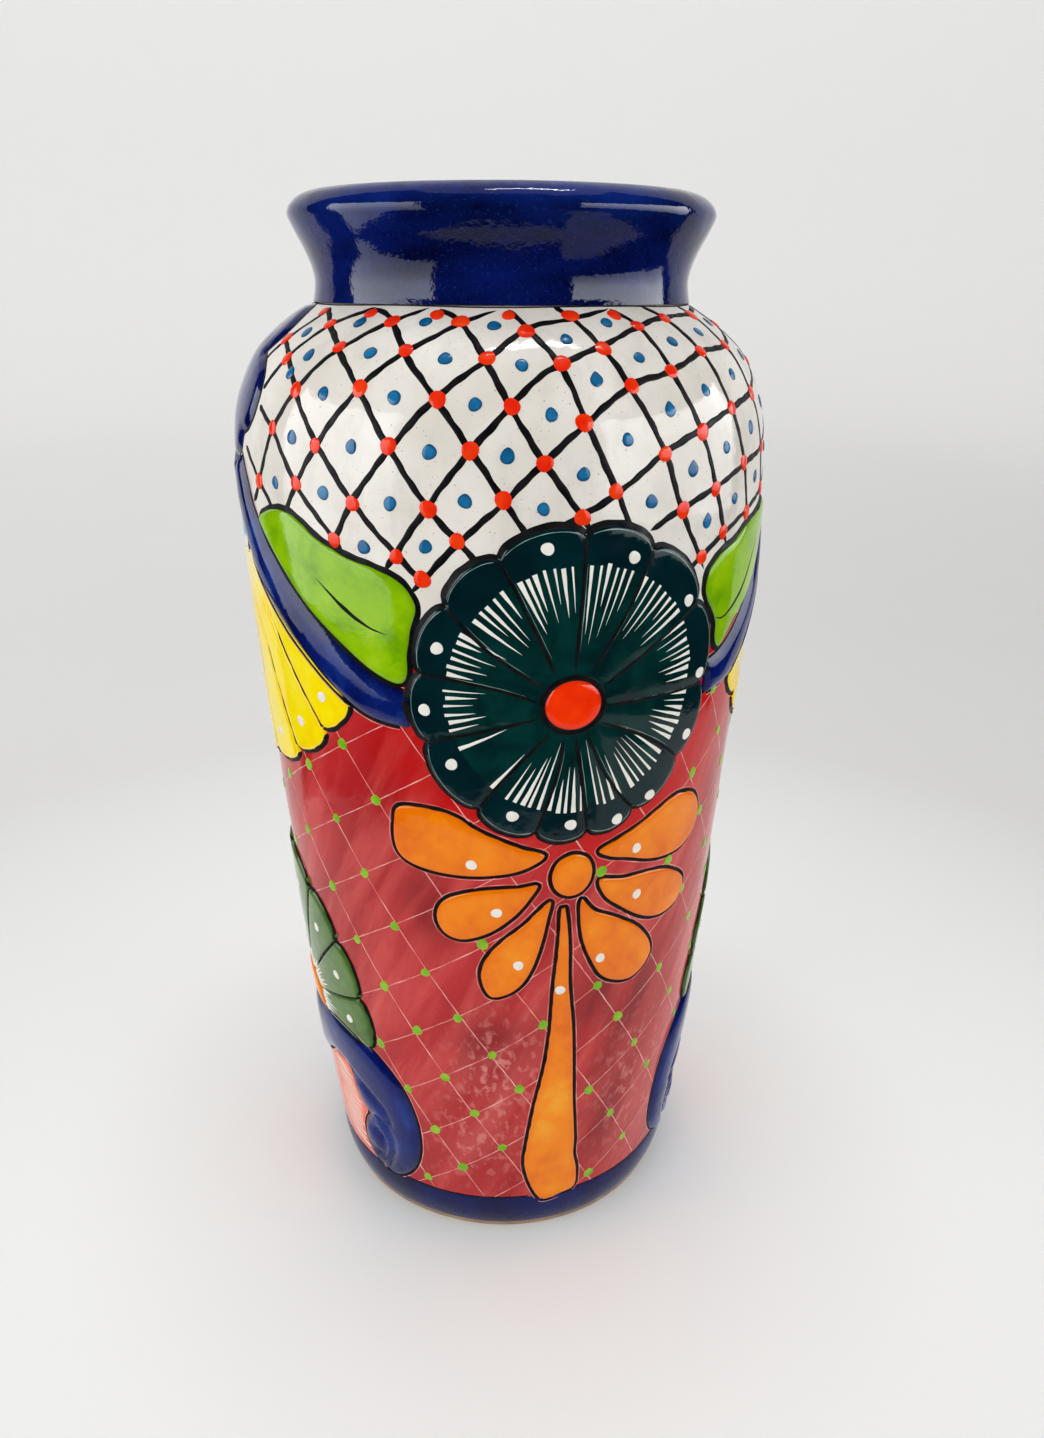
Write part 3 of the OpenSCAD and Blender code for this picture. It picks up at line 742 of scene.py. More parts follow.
def band_sides(stations, grow=0.0):
    """The two long sides of a band that runs through stations of azimuth, height and half width."""
    line = smooth(stations, 4)
    wide = per_degree(line[:, 1].mean())
    way = np.gradient(line[:, :2] * [wide, 1], axis=0)
    side = np.stack([-way[:, 1], way[:, 0]], -1) / np.linalg.norm(way, axis=1)[:, None]
    offset = side * (line[:, 2:] + grow) / [wide, 1]
    return line[:, :2] + offset, line[:, :2] - offset


def band(stations):
    """The closed outline of a band, with a corner at each end of its long sides."""
    first, second = band_sides(stations)
    return [*first[:1], *first, *first[-1:], *second[-1:], *second[::-1], *second[:1]]


def mark_distance(shape, centre):
    """Marks each point with its distance from a motif's centre, for colour that follows it."""
    x = (np.array(shape.marks["az"]) - centre[0]) * per_degree(centre[1])
    shape.marks["out"] = list(np.hypot(x, np.array(shape.marks["z"]) - centre[1]))


FLOWER = [1.2, 248.5]
BUTTON = [0.3, 244.5]
BUTTON_SIZE = 10, 9.2
NOTCH_R = 52
LOBE = 4
NOTCHES = [89, 62, 29, -6, -37, -64, -84, -104, -128, -161, -188, -215, -240, -271]
PETALS = range(len(NOTCHES) - 1)


def petal_tip(i, grow=0.0, start=0.0, end=1.0):
    """Points along the scalloped end of petal i."""
    a, b = NOTCHES[i], NOTCHES[i + 1]
    return [polar(FLOWER, NOTCH_R + grow + LOBE * lobe(t), a + (b - a) * t)
            for t in np.linspace(start, end, 12)]


def divider(i, near=0.0, far=1.0):
    """Points along the groove between two petals, from the button out to the notch."""
    inner, outer = polar(BUTTON, BUTTON_SIZE[0] + 1.5, NOTCHES[i]), polar(FLOWER, NOTCH_R, NOTCHES[i])
    bow = 1.3 * math.sin(2.1 * i)
    return [[p + bow * math.sin(math.pi * t) for p in mix(inner, outer, t)]
            for t in np.linspace(near, far, 7)]


def petal_swell(az, z, edge):
    """Petals swell a little between the grooves, and the middle of the flower is dished."""
    wide = np.array([per_degree(FLOWER[1]), 1])
    flat = np.stack([az, z], -1) * wide
    nearest = line_distance(flat, *(np.array(divider(i)) * wide for i in PETALS))
    out = np.hypot(*(flat - np.array(FLOWER) * wide).T)
    swell = 0.32 * (1 - np.exp(-nearest / 4)) - 0.15 * np.exp(-((nearest / 1.2) ** 2))
    return swell * np.clip(out / 25, 0, 1) - 0.5 * np.clip(1 - out / 34, 0, 1)


def scroll_swell(az, z, edge):
    """Soft creases part the scroll's band from its lobe and its spiral boss."""
    wide = np.array([per_degree(52), 1])
    flat = np.stack([np.abs(az), z], -1) * wide
    nearest = line_distance(flat, *(smooth(np.array(crease) * wide, 2) for crease in CREASES))
    return 0.9 * (1 - np.exp(-edge / 6)) - 2.0 * np.exp(-((nearest / 1.7) ** 1.4))


LEAVES = {
    "left": [[-71.5, 298], [-70, 293.5], [-63, 283], [-55, 271.5], [-47, 262], [-40, 254],
             [-34.4, 250.5], [-32, 254], [-31.6, 262], [-30.7, 270], [-29.6, 277.5], [-32.6, 285.5],
             [-37.5, 289], [-44, 292], [-50, 295.5], [-55, 300], [-60, 303], [-66, 302]],
    "right": [[69, 295], [63, 299.5], [52, 296.5], [46, 295], [41, 291.5], [35.5, 289], [31, 283.5],
              [30.4, 277], [32.2, 271], [34.9, 264], [36, 256], [38, 253.2], [40, 255], [44, 261],
              [50, 266], [56, 272.5], [62, 280], [67, 288]]}
MIDRIBS = {
    "left": [[-51.5, 283], [-45, 275], [-40, 270], [-35.5, 267.7]],
    "right": [[33.5, 266.5], [37, 265], [41, 267.5], [45, 272], [49, 279], [53, 287.5]]}
SWAGS = {
    "left": [[-31.8, 241, 6.4], [-40, 244, 7.7], [-46, 249.5, 7.8], [-55, 260.5, 7.7], [-65, 273.5, 7.8],
             [-72, 283.5, 7.7], [-78, 295, 7.4], [-81.5, 304, 7], [-85, 314, 5.5]],
    "right": [[33.9, 243.2, 6.4], [42, 245.4, 7.7], [49, 251.5, 8.3], [56, 259.8, 8.3], [63, 269.8, 8.3],
              [70, 282, 7.9], [76.5, 294, 7.6], [81.5, 304, 7], [85, 314, 5.5]]}
PLUME_BUTTON = [2, 178.3]
PLUME_BUTTON_SIZE = 7.7, 8.8
PLUME = [
    [[-4.5, 188], [-10, 191.5], [-18, 197.5], [-24, 203.5], [-30, 205.5], [-36.5, 204.5], [-38, 198],
     [-38.2, 190], [-37, 185], [-34, 182], [-28, 180], [-20, 179.5], [-12, 181], [-7, 184]],
    [[8, 186.5], [12, 189.5], [18, 193], [24, 197.5], [29, 200], [33, 199.3], [37, 196.5], [39.5, 191],
     [40, 185], [38, 179], [34, 175.5], [29, 175], [23, 176.5], [16, 180.5], [11, 183]],
    [[-5.8, 175.7], [-10, 175], [-16, 174.5], [-21, 173], [-26, 170], [-28.5, 165.5], [-29, 160],
     [-27.5, 155], [-24.5, 152.5], [-21, 153], [-16, 156.5], [-11, 163], [-8, 169]],
    [[8.8, 174.3], [15, 172.5], [22, 171.5], [28, 169.5], [33, 165.5], [36.5, 161], [37.2, 156],
     [35, 150.5], [30, 148.5], [25, 150], [20, 154], [15, 160], [10.5, 166.5]],
    [[-3, 168.5], [-3.5, 160], [-4.7, 150], [-6.5, 140], [-9, 132.5], [-12.5, 128], [-16.5, 126.8],
     [-18.5, 131.5], [-19, 138], [-17.5, 145], [-14, 152], [-9, 159]],
    [[4.5, 167.5], [4.5, 158], [5.5, 149], [8, 139], [11, 131], [15, 126.5], [20, 124.5], [24, 127],
     [26.5, 132], [26.3, 137], [24, 143], [20, 149.5], [14, 156], [8, 161.5]]]
STEM = [[-0.3, 165], [-0.5, 150], [-1.2, 130], [-1.6, 110], [-2.8, 90], [-5.2, 70], [-7, 50], [-7.6, 40],
        [-6.5, 30], [-3.8, 20], [-1.2, 16.5], [4, 17.6], [9.1, 20], [9.3, 30], [7.8, 40], [7.5, 50],
        [6.2, 70], [5.3, 90], [4.3, 110], [2.7, 130], [2, 150], [0.7, 165]]

HALF_CREST = [[0, 313.5], [4, 315], [7.6, 318.5], [9.5, 323.5], [13, 326], [16, 331], [16.8, 337],
              [15.5, 343], [12, 347.5], [8.5, 349.5], [8.5, 349.5], [11, 352.5], [12, 356.5], [10, 361],
              [6, 364.5], [0, 365]]
FAN = [0, 312]
FAN_START, HEART_R = 34, 31
FAN_IN = [-34, -25, -14, -4.5, 4.5, 14, 25, 34]
FAN_OUT = [-45.5, -34.5, -22, -7.5, 7.5, 22, 34.5, 45.5]
FAN_R = [101.5, 104, 106.5, 107.5, 106.5, 104, 101.5]
FAN_LOBE = 3
SIDE_FLOWER = [0, 90]
SIDE_NOTCHES = [-4, 21, 45, 66, 90, 114, 135, 159, 184]
SIDE_WIDE, SIDE_TALL = 53, 67
SIDE_BUTTON_R, SIDE_BUTTON_TALL = 20, 13
HALF_SCROLL = [[0, 54], [2, 54.5], [6, 57.5], [11, 62.5], [16, 66.3], [21, 67.3], [24.3, 66], [25.8, 62],
               [26.6, 56.5], [28.4, 51.5], [30.6, 48], [30.6, 45.5], [29, 42], [27.6, 36], [27.8, 29],
               [29.8, 23], [33, 19.5], [36.5, 17.2], [40.5, 17.6], [44.5, 21], [48.2, 28], [50.2, 36],
               [51, 46], [50.4, 56], [48.6, 66], [45.3, 75], [40.5, 82], [35, 87], [29, 90], [22, 90.5],
               [15, 88], [8, 84.5], [0, 83.5]]
CREASES = [
    [[24.5, 67], [27.2, 66.3], [32.3, 63], [37.4, 58.8], [40, 54], [40.8, 49.5]],
    [[30.8, 46.3], [34.6, 48.2], [38.3, 48.4], [40.4, 43.7], [41, 36.1], [39.5, 28], [37.2, 22.6],
     [34.5, 19.5]],
    [[33.2, 40.5], [35.6, 41], [37.3, 38], [37.4, 33], [35.8, 28.5], [33.2, 26.8], [31.6, 29.5]]]
HALF_PANEL = [[0, 19.5], [12, 19.5], [24, 19.5], [33.5, 19.8], [30.2, 23.5], [28.4, 29], [28.2, 36],
              [29.5, 42], [31, 46.5], [28.6, 51.5], [26.9, 57], [24.6, 66.2], [20, 66.5], [13, 63.5],
              [6, 57.8], [0, 55]]


def fan_angle(j, s):
    return FAN_IN[j] + (FAN_OUT[j] - FAN_IN[j]) * min(1, 2.6 * s) ** 0.8 - 90


def fan_edge(j, r):
    """Points along the edge between two fan petals, out to radius r."""
    return [polar(FAN, FAN_START + s * (r - FAN_START), fan_angle(j, s)) for s in np.linspace(0, 1, 6)]


def fan_tip(j, grow=0.0):
    a, b = fan_angle(j, 1), fan_angle(j + 1, 1)
    return [polar(FAN, FAN_R[j] + grow + FAN_LOBE * lobe(t), a + (b - a) * t) for t in np.linspace(0, 1, 9)]


def side_r(angle):
    """The side flower's radius, greatest at its top."""
    return SIDE_WIDE + (SIDE_TALL - SIDE_WIDE) * math.sin(math.radians(angle)) ** 2


def side_start(angle):
    """How far from its centre the side flower's petals begin, just outside its low oval button."""
    turn = math.radians(angle)
    wide, tall = SIDE_BUTTON_R, SIDE_BUTTON_TALL
    return 1 + wide * tall / math.hypot(tall * math.cos(turn), wide * math.sin(turn))


def side_edge(angle, near=0.0):
    start = side_start(angle)
    return [polar(SIDE_FLOWER, start + s * (side_r(angle) - start), angle) for s in np.linspace(near, 1, 5)]


def side_tip(i, grow=0.0):
    a, b = SIDE_NOTCHES[i], SIDE_NOTCHES[i + 1]
    return [polar(SIDE_FLOWER, side_r(a + (b - a) * t) + grow + LOBE * lobe(t), a + (b - a) * t)
            for t in np.linspace(0, 1, 9)]


def oval(centre, rx, ry):
    turns = np.linspace(0, 2 * math.pi, 18, endpoint=False)
    wide = per_degree(centre[1])
    return [[centre[0] + rx * math.cos(a) / wide, centre[1] + ry * math.sin(a)] for a in turns]


def low_button():
    """The side flower's button: a flat foot with an oval top."""
    wide = SIDE_BUTTON_R / per_degree(SIDE_FLOWER[1])
    foot = [[x * wide, SIDE_FLOWER[1] - 3] for x in np.linspace(-1, 1, 6)]
    return foot + [[wide * math.cos(a), SIDE_FLOWER[1] - 1 + SIDE_BUTTON_TALL * math.sin(a)]
                   for a in np.linspace(0.2, 2.94, 9)]


def heart_outline():
    """The fan's heart: a point at the top, opening to an arc."""
    return [polar(FAN, 5, -90)] + [polar(FAN, HEART_R, a - 90) for a in range(-24, 25, 6)]


relief = []


def raised(node, outlines, height, roll, material, slot, turn, centre=None, **more):
    """Builds one relief node as cushions over its outlines and keeps it for paint to lie on."""
    shape = Shape(turn)
    for outline in outlines:
        cushion(shape, outline, height, roll=roll, **more)
    if centre:
        mark_distance(shape, centre)
    shape.build(f"{node}_glazed", material, slot, node)
    relief.append(shape)


def front_relief(side, turn):
    tips = [p for i in PETALS for p in petal_tip(i)]
    raised(f"{side}_flower_petals", [tips], 1.3, 1.6, TEAL, "teal_glaze", turn, FLOWER,
           spacing=1.7, rise=petal_swell, step=1.2)
    raised(f"{side}_flower_button", [oval(BUTTON, *BUTTON_SIZE)], 2.3, 3.0,
           RED_ORANGE, "orange_glaze", turn, spacing=1.3)
    for hand in ("left", "right"):
        raised(f"{side}_leaf_{hand}", [LEAVES[hand]], 1.3, 2.2, LIME, "leaf_glaze", turn,
               rise=lambda az, z, edge: 0.4 * (1 - np.exp(-edge / 6)))
        raised(f"{side}_swag_{hand}", [band(SWAGS[hand])], 2.5, 7.0, COBALT, "cobalt_glaze", turn)
    raised(f"{side}_plume_petals", PLUME, 0.8, 1.4, ORANGE, "orange_glaze", turn)
    raised(f"{side}_plume_button", [oval(PLUME_BUTTON, *PLUME_BUTTON_SIZE)], 0.9, 1.6,
           ORANGE, "orange_glaze", turn)
    raised(f"{side}_plume_stem", [STEM], 0.8, 1.3, ORANGE, "orange_glaze", turn)


def side_relief(side, turn):
    raised(f"{side}_crest", [mirrored(HALF_CREST)], 1.4, 6.0, COBALT, "cobalt_glaze", turn)
    raised(f"{side}_fan_heart", [heart_outline()], 1.0, 1.6, HEART, "sky_glaze", turn, FAN)
    petals = [fan_edge(j + 1, FAN_R[j]) + fan_tip(j)[::-1] + fan_edge(j, FAN_R[j])[::-1]
              for j in range(len(FAN_R))]
    raised(f"{side}_fan_petals", petals, 1.0, 1.4, YELLOW, "yellow_glaze", turn, FAN, step=1.6)
    petals = [side_edge(a)[:1] + side_tip(i) + side_edge(b)[::-1]
              for i, (a, b) in enumerate(zip(SIDE_NOTCHES, SIDE_NOTCHES[1:]))]
    raised(f"{side}_flower_petals", petals, 1.5, 1.8, GREEN, "green_glaze", turn, SIDE_FLOWER, step=1.6)
    raised(f"{side}_flower_button", [low_button()], 2.0, 3.0, ORANGE, "orange_glaze", turn)
    raised(f"{side}_scrolls", [mirrored(HALF_SCROLL)], 2.2, 6.0, COBALT, "cobalt_glaze", turn,
           rise=scroll_swell, spacing=1.7)
    raised(f"{side}_coral_panel", [mirrored(HALF_PANEL)], 0.8, 1.2, CORAL, "coral_glaze", turn)


front_relief("front", FRONT)
front_relief("back", BACK)
side_relief("left", LEFT)
side_relief("right", RIGHT)
lie_on_relief(relief)

# ---- Painted marks ----------------------------------------------------------------------------

NECK_LINE, FOOT_LINE, TOP_DOTS = 364.9, 18.7, 362.6
black, white, pale, thin, red, blue, green = PAINTS = [Shape() for _ in range(7)]


def face(turn):
    """Lays the paint that follows round this azimuth."""
    for paint_shape in PAINTS:
        paint_shape.turn = turn


def around(shape, outline, width, by=0.0, **more):
    """A brushed line all the way round a closed outline, or round it grown by some millimetres."""
    line = moved_out(outline, by).tolist()
    bead(shape, line + line[:2], width, **more)


# The white strokes start on the ring, and are sparse between two directions from the flower's middle.
PETAL_RING = 43.3
FLOWER_DOTS = [(-5.6, 297), (11.2, 292.5), (25, 275.2), (31.1, 247.3), (29, 225), (19.7, 205.3),
               (11.5, 199), (0.7, 200), (-11.7, 205), (-23.9, 224), (-28.9, 243.2), (-25.9, 264.8)]
PLUME_DOTS = [(-20.5, 184.7), (17.9, 184), (-15.1, 165), (19.4, 163.6), (-10.1, 141.7), (10.3, 139.7),
              (0.3, 128.4)]
SPARSE = (-162, -132)
# These petals have a thicker outline.
THICK_ENDS = (0, 9, 10, 11, 12)


def paint_flower():
    """Outlines and grooves, then white strokes inwards from a ring, fewer in the sparse stretch."""
    for i in PETALS:
        bead(black, petal_tip(i, 0.4), 2.1 if i in THICK_ENDS else 1.6, wander=0.14)
        bead(black, divider(i), 1.3, taper=(0.12, 0), lift=0.17)
        bead(pale, petal_tip(i, -1.5, 0.08, 0.92), 0.25, lift=0.05, wander=0.4)
        beside = [[az + 0.55, z + 0.5] for az, z in divider(i, 0.15, 0.8)]
        bead(pale, beside, 0.2, lift=0.04, wander=0.4, taper=(0.3, 0.3))
    around(black, oval(BUTTON, *BUTTON_SIZE), 1.8, by=0.7)
    for i in PETALS:
        angle = NOTCHES[i] - 2.5
        while angle > NOTCHES[i + 1] + 2.5:
            side = (angle + 180) % 360 - 180
            if not (SPARSE[0] < side < SPARSE[1] and chance.random() < 0.6):
                tall = abs(math.sin(math.radians(angle)))
                length = (14 + 12.5 * tall**1.5) * chance.uniform(0.45, 1.0)
                outer = PETAL_RING + chance.uniform(-0.6, 0.5)
                lean = chance.uniform(-0.6, 0.6)
                path = [polar(FLOWER, outer - length * s, angle + lean * s) for s in (0, 0.5, 1)]
                bead(white, path, chance.uniform(0.8, 2.1), taper=(0, 1), lift=0.1,
                     step=1.0, blunt=True, wander=0.05)
            angle -= chance.uniform(3.2, 4.6)
    for az, z in FLOWER_DOTS:
        dot(white, az, z, 2.1)


def paint_leaves():
    for hand in ("left", "right"):
        around(black, LEAVES[hand], 1.9, by=0.3)
        bead(black, MIDRIBS[hand], 1.7, taper=(0.45, 0.5), lift=0.12)
        for side in band_sides(SWAGS[hand], 0.2):
            bead(black, side[1:], 1.2)
        for side in band_sides(SWAGS[hand], 1.1):
            bead(thin, side[1:], 0.35, lift=0.06, wander=0.4)


def paint_plume():
    for outline in PLUME + [STEM, oval(PLUME_BUTTON, *PLUME_BUTTON_SIZE)]:
        around(black, outline, 1.5, by=0.5)
        around(thin, outline, 0.22, by=1.5, lift=0.03, wander=0.6)
    for az, z in PLUME_DOTS:
        dot(white, az, z, 2.0)


def paint_sides():
    around(black, mirrored(HALF_CREST), 1.3, by=0.3)
    around(black, heart_outline(), 0.9)
    for j in range(len(FAN_IN)):
        bead(black, fan_edge(j, FAN_R[min(j, 6)]), 1.0, taper=(0.5, 0))
    for j in range(len(FAN_R)):
        bead(black, fan_tip(j, grow=0.4), 1.9, wander=0.15)
        middle = (fan_angle(j, 1) + fan_angle(j + 1, 1)) / 2
        dot(white, *polar(FAN, FAN_R[j] - 8, middle), 2.0)
    for i in range(len(SIDE_NOTCHES) - 1):
        a, b = SIDE_NOTCHES[i], SIDE_NOTCHES[i + 1]
        middle = (a + b) / 2
        bead(black, side_tip(i, 0.3), 1.4)
        bead(black, side_edge(a, 0.2), 1.0, taper=(0.4, 0))
        dot(white, *polar(SIDE_FLOWER, side_r(middle) * 0.83, middle), 2.0)
        for angle in np.arange(a + 2, b - 1, 3.4):
            inner, length = side_start(angle) + chance.uniform(0.5, 2), chance.uniform(6, 13)
            path = [polar(SIDE_FLOWER, inner + length * s, angle) for s in (0, 0.5, 1)]
            bead(white, path, 1.7, taper=(0, 1), lift=0.12)
    bead(black, side_edge(SIDE_NOTCHES[-1], 0.2), 1.0, taper=(0.4, 0))
    around(black, mirrored(HALF_SCROLL), 0.9, by=0.1)
    around(thin, mirrored(HALF_SCROLL), 0.35, by=0.9, lift=0.05, wander=0.4)
    around(thin, mirrored(HALF_PANEL), 0.5, lift=0.05, wander=0.4)
    rim = np.array(HALF_PANEL[4:12])
    for flip in (1, -1):
        for z in np.arange(24, 62, 2.7):
            start = np.interp(z, rim[:, 1], rim[:, 0]) - chance.uniform(1.2, 3)
            lean = chance.uniform(1.2, 2.4)
            path = [[(start - 12 * t) * flip, z + lean * t] for t in (0, 0.5, 1)]
            bead(white, path, 1.2, taper=(0.12, 0.6), lift=0.12)


FALLING = [
    [(-78.3, 320), (-70.7, 309.8), (-66, 303), (-63, 297)],
    [(-71.8, 334), (-64, 326.5), (-56.6, 312), (-48, 298.5), (-45, 293)],
    [(-77, 355.5), (-66.6, 349.5), (-59.2, 340), (-51, 326), (-42.3, 309), (-30.5, 289), (-27.5, 284)],
    [(-70, 364), (-60.3, 359), (-51, 352.5), (-42.3, 341.7), (-34.3, 325.6), (-27.2, 308.9), (-20, 296),
     (-16.5, 289)],
    [(-49.7, 364.3), (-41.2, 360.8), (-34, 352), (-26, 340), (-19.2, 325.7), (-10, 303), (-7.5, 297)],
    [(-30, 364.2), (-23.2, 360.4), (-17.5, 352), (-12.3, 338.3), (-6.1, 322.3), (0.7, 306.3), (3, 300)],
    [(-12, 364.2), (-7.8, 359.2), (-2.1, 349.2), (1.9, 333.3), (7.8, 312.3), (10, 304), (12, 297)],
    [(0, 365), (4, 361.7), (7.9, 354.2), (12, 342), (17.8, 324), (22.2, 305.6), (28.2, 289), (30, 284)],
    [(16.2, 364.3), (20.9, 359.2), (23.1, 346.8), (27.2, 330), (32, 311), (36, 294.6), (37.5, 289)],
    [(28, 365), (33, 361), (35.8, 351.5), (38.9, 334.3), (43.5, 315.3), (46.2, 299.6), (47.5, 293)],
    [(46, 365), (49.6, 361.5), (49.8, 352.3), (51.9, 337.7), (55, 322), (58.5, 303.8), (60, 296)],
    [(62, 365), (65, 359), (66.5, 350), (68.5, 336), (72, 320), (76, 302)]]
RISING = [
    [(-78, 348), (-74.9, 353), (-68.6, 362.7)],
    [(-72.5, 339), (-66.6, 349.5), (-60.3, 359), (-49.7, 364.3)],
    [(-74.5, 302), (-70.7, 309.8), (-65.5, 325), (-59.2, 339.8), (-53, 350), (-43, 359.5), (-33, 364.5)],
    [(-61, 300), (-58.5, 306.5), (-52, 322), (-42.3, 341.7), (-35, 351.5), (-23.2, 360.4), (-15, 364)],
    [(-48.5, 291), (-46, 298), (-42.3, 308.5), (-34.3, 325.6), (-26, 340), (-16, 351.5), (-7.8, 359),
     (4, 361.7), (16, 364.5)],
    [(-36, 288), (-33.5, 293.7), (-27.2, 308.9), (-19.2, 325.7), (-9, 343), (-2.1, 349.2), (7.9, 354.2),
     (20.9, 359.2), (33, 361.7), (49.6, 362.5), (64, 364.8)],
    [(-31, 281.5), (-28.2, 286.5), (-20.5, 300), (-13.7, 310.2), (-6.1, 322.3), (1.9, 333.3), (12, 343),
     (23.1, 346.8), (35.8, 351.5), (50.9, 352.8), (65, 358), (76, 364.5)],
    [(-4, 302), (0.7, 306.3), (7.8, 312.3), (17.8, 323.5), (27.2, 329), (38.9, 334.3), (51.9, 338),
     (66, 346), (78, 356)],
    [(15, 300), (22.2, 305.6), (32, 310.5), (43.5, 316), (55, 319), (69, 329), (79, 340)],
    [(25, 284), (28.2, 288), (36, 294.6), (46.2, 299.6), (55, 303), (66, 309), (80, 321)]]


def crossing(first, second):
    """Where two lines cross, or None."""
    wide = 1.6
    a, b = smooth(np.array(first) * [wide, 1], 1.5), smooth(np.array(second) * [wide, 1], 1.5)
    for p, q in zip(a, a[1:]):
        r = q - p
        d = np.diff(b, axis=0)
        w = b[:-1] - p
        cross = r[0] * d[:, 1] - r[1] * d[:, 0]
        cross = np.where(np.abs(cross) < 1e-9, 1e-9, cross)
        t, u = (w[:, 0] * d[:, 1] - w[:, 1] * d[:, 0]) / cross, (w[:, 0] * r[1] - w[:, 1] * r[0]) / cross
        hits = np.nonzero((t >= 0) & (t < 1) & (u >= 0) & (u < 1))[0]
        if len(hits):
            return (p + r * t[hits[0]]) / [wide, 1]
    return None


def paint_shoulder(turn):
    """The black lattice on the cream glaze, a red dot on each crossing, a blue one in each cell."""
    knots = {(i, j): crossing(first, second)
             for i, first in enumerate(FALLING) for j, second in enumerate(RISING)}
    for line in FALLING + RISING:
        bead(black, line, 2.3, lift=0.16, wander=0.16, taper=(0.02, 0.05), proud=False)
    crossings = [knot for knot in knots.values() if knot is not None]
    for line in FALLING[3:-1]:
        if min(np.hypot((az - line[0][0]) * 1.1, z - TOP_DOTS) for az, z in crossings) > 5.5:
            dot(red, line[0][0], TOP_DOTS, chance.uniform(2.2, 2.6), lift=0.5)
    for i, j in knots:
        corners = [knots.get((i + di, j + dj)) for di, dj in ((0, 0), (1, 0), (0, 1), (1, 1))]
        if corners[0] is not None:
            az, z = corners[0] + [chance.uniform(-0.5, 0.5), chance.uniform(-0.8, 0.8)]
            covered = relief_lift(np.array([az + turn]), np.array([z]))[0] > 0.8
            if z < NECK_LINE - 1.4 and not covered:
                dot(red, az, z, chance.uniform(2.4, 2.9), lift=0.6)
        known = [c for c in corners if c is not None]
        if len(known) >= 3:
            az, z = np.mean(known, axis=0) if len(known) == 4 else (known[0] + known[-1]) / 2
            if relief_lift(np.array([az + turn]), np.array([z]))[0] > 0.3:
                continue
            drip = 0.6 if chance.random() < 0.15 else 0.1
            dot(blue, az, z, chance.uniform(2.0, 2.4), lift=0.4, drip=drip)


RED_LOW, RED_HIGH = 19, 262
# Slopes in millimetres of height for a degree, then where the first line starts and their spacing.
FALL, CLIMB = 2.45, 1.03
FIRST_FALL, FALLS_EVERY = -26, 18
FIRST_CLIMB, CLIMBS_EVERY = 248, 26.5


def paint_red_field():
    """Thin lines scored through the red glaze all the way round, with a green dot at each crossing."""
    falls = [FIRST_FALL + FALLS_EVERY * n for n in range(-12, 20)]
    falls = [c - 2.5 - 2.5 * math.cos(math.radians(2 * (c - 20))) for c in falls]
    climbs = [FIRST_CLIMB + CLIMBS_EVERY * n for n in range(-20, 12)]
    for c in falls:
        if -180 <= c - 2 < 180:
            path = [[c - z / FALL, z] for z in np.linspace(RED_LOW, RED_HIGH, 12)]
            bead(thin, path, 0.45, lift=0.06, wander=0.4, step=2.2, proud=False)
    for b in climbs:
        start, end = max(-180, (RED_LOW - b) / CLIMB), min(180, (RED_HIGH - b) / CLIMB)
        if end - start > 3:
            path = [[az, b + CLIMB * az] for az in np.linspace(start, end, max(3, int((end - start) / 12)))]
            bead(thin, path, 0.4, lift=0.06, wander=0.4, step=2.2, proud=False)
    for c in falls:
        for b in climbs:
            az = (c - b / FALL) / (1 + CLIMB / FALL) + chance.uniform(-0.7, 0.7)
            z = b + CLIMB * az + chance.uniform(-1, 1)
            near_az, near_z = az + 2 * np.array([1, -1, 0, 0]), z + 3 * np.array([0, 0, 1, -1])
            hidden = np.sum(relief_lift(near_az, near_z) > 0.05) > 1
            if -180 <= az < 180 and RED_LOW + 2 < z < RED_HIGH - 2 and not hidden:
                dot(green, az, z, chance.uniform(1.8, 2.3), lift=0.35, drip=0.25, proud=False)


def level_line(height, start, end, width):
    """A line round the wall where two coats meet. The foot's stops either side of a plume's stem."""
    bead(black, [[az, height + 0.2 * math.sin(az / 9)] for az in range(start, end, 4)], width)


for turn in (FRONT, BACK):
    face(turn)
    paint_flower()
    paint_leaves()
    paint_plume()
    paint_shoulder(turn)
for turn in (LEFT, RIGHT):
    face(turn)
    paint_sides()
face(FRONT)
paint_red_field()
level_line(NECK_LINE, -180, 182, 0.6)
for start in (10, 190):
    level_line(FOOT_LINE, start, start + 168, 0.7)
black.build("black_lines", BLACK, "cobalt_glaze")
white.build("white_strokes_and_dots", WHITE, "cream_glaze")
pale.build("pale_petal_lines", PALE_LINE, "teal_glaze")
thin.build("scored_lines", SCRATCH, "red_glaze")
red.build("red_dots", RED_DOTS, "orange_glaze")
blue.build("blue_dots", BLUE_DOTS, "sky_glaze")
green.build("green_dots", GREEN_DOTS, "leaf_glaze")

# ---- Room -----------------------------------------------------------------------------------


def paper_with_painted_light_and_shade():
    """White paper, with painted light round the vase and up the wall, greyer between them, and painted
    shade to the right.
    """
    r = Recipe("paper_with_painted_light_and_shade")
    away = r.node("ShaderNodeVectorMath", operation="LENGTH")
    r.link(r.place, away.inputs[0])
    away = away.outputs["Value"]
    # Painted light: the paper brightens round the vase and with distance up the wall.
    near = r.scale(away, 0.20, 0.50, 1, 0)
    far = r.scale(away, 0.9, 3.3)
    side = r.node("ShaderNodeSeparateXYZ")
    r.link(r.place, side.inputs[0])
    colour = r.mix(r.noise(3), (0.72, 0.72, 0.715), (0.75, 0.75, 0.745))
    # Painted shade: the paper greys towards the right.
    colour = r.mix(r.scale(side.outputs["X"], 0.0, 1.3, 0, 0.85), colour, (0.60, 0.60, 0.60))
    # Painted light up the wall, then round the vase.
    colour = r.mix(far, colour, (0.94, 0.94, 0.935))
    colour = r.mix(near, colour, (0.91, 0.935, 0.935))
    return r.finish(colour, 0.6)


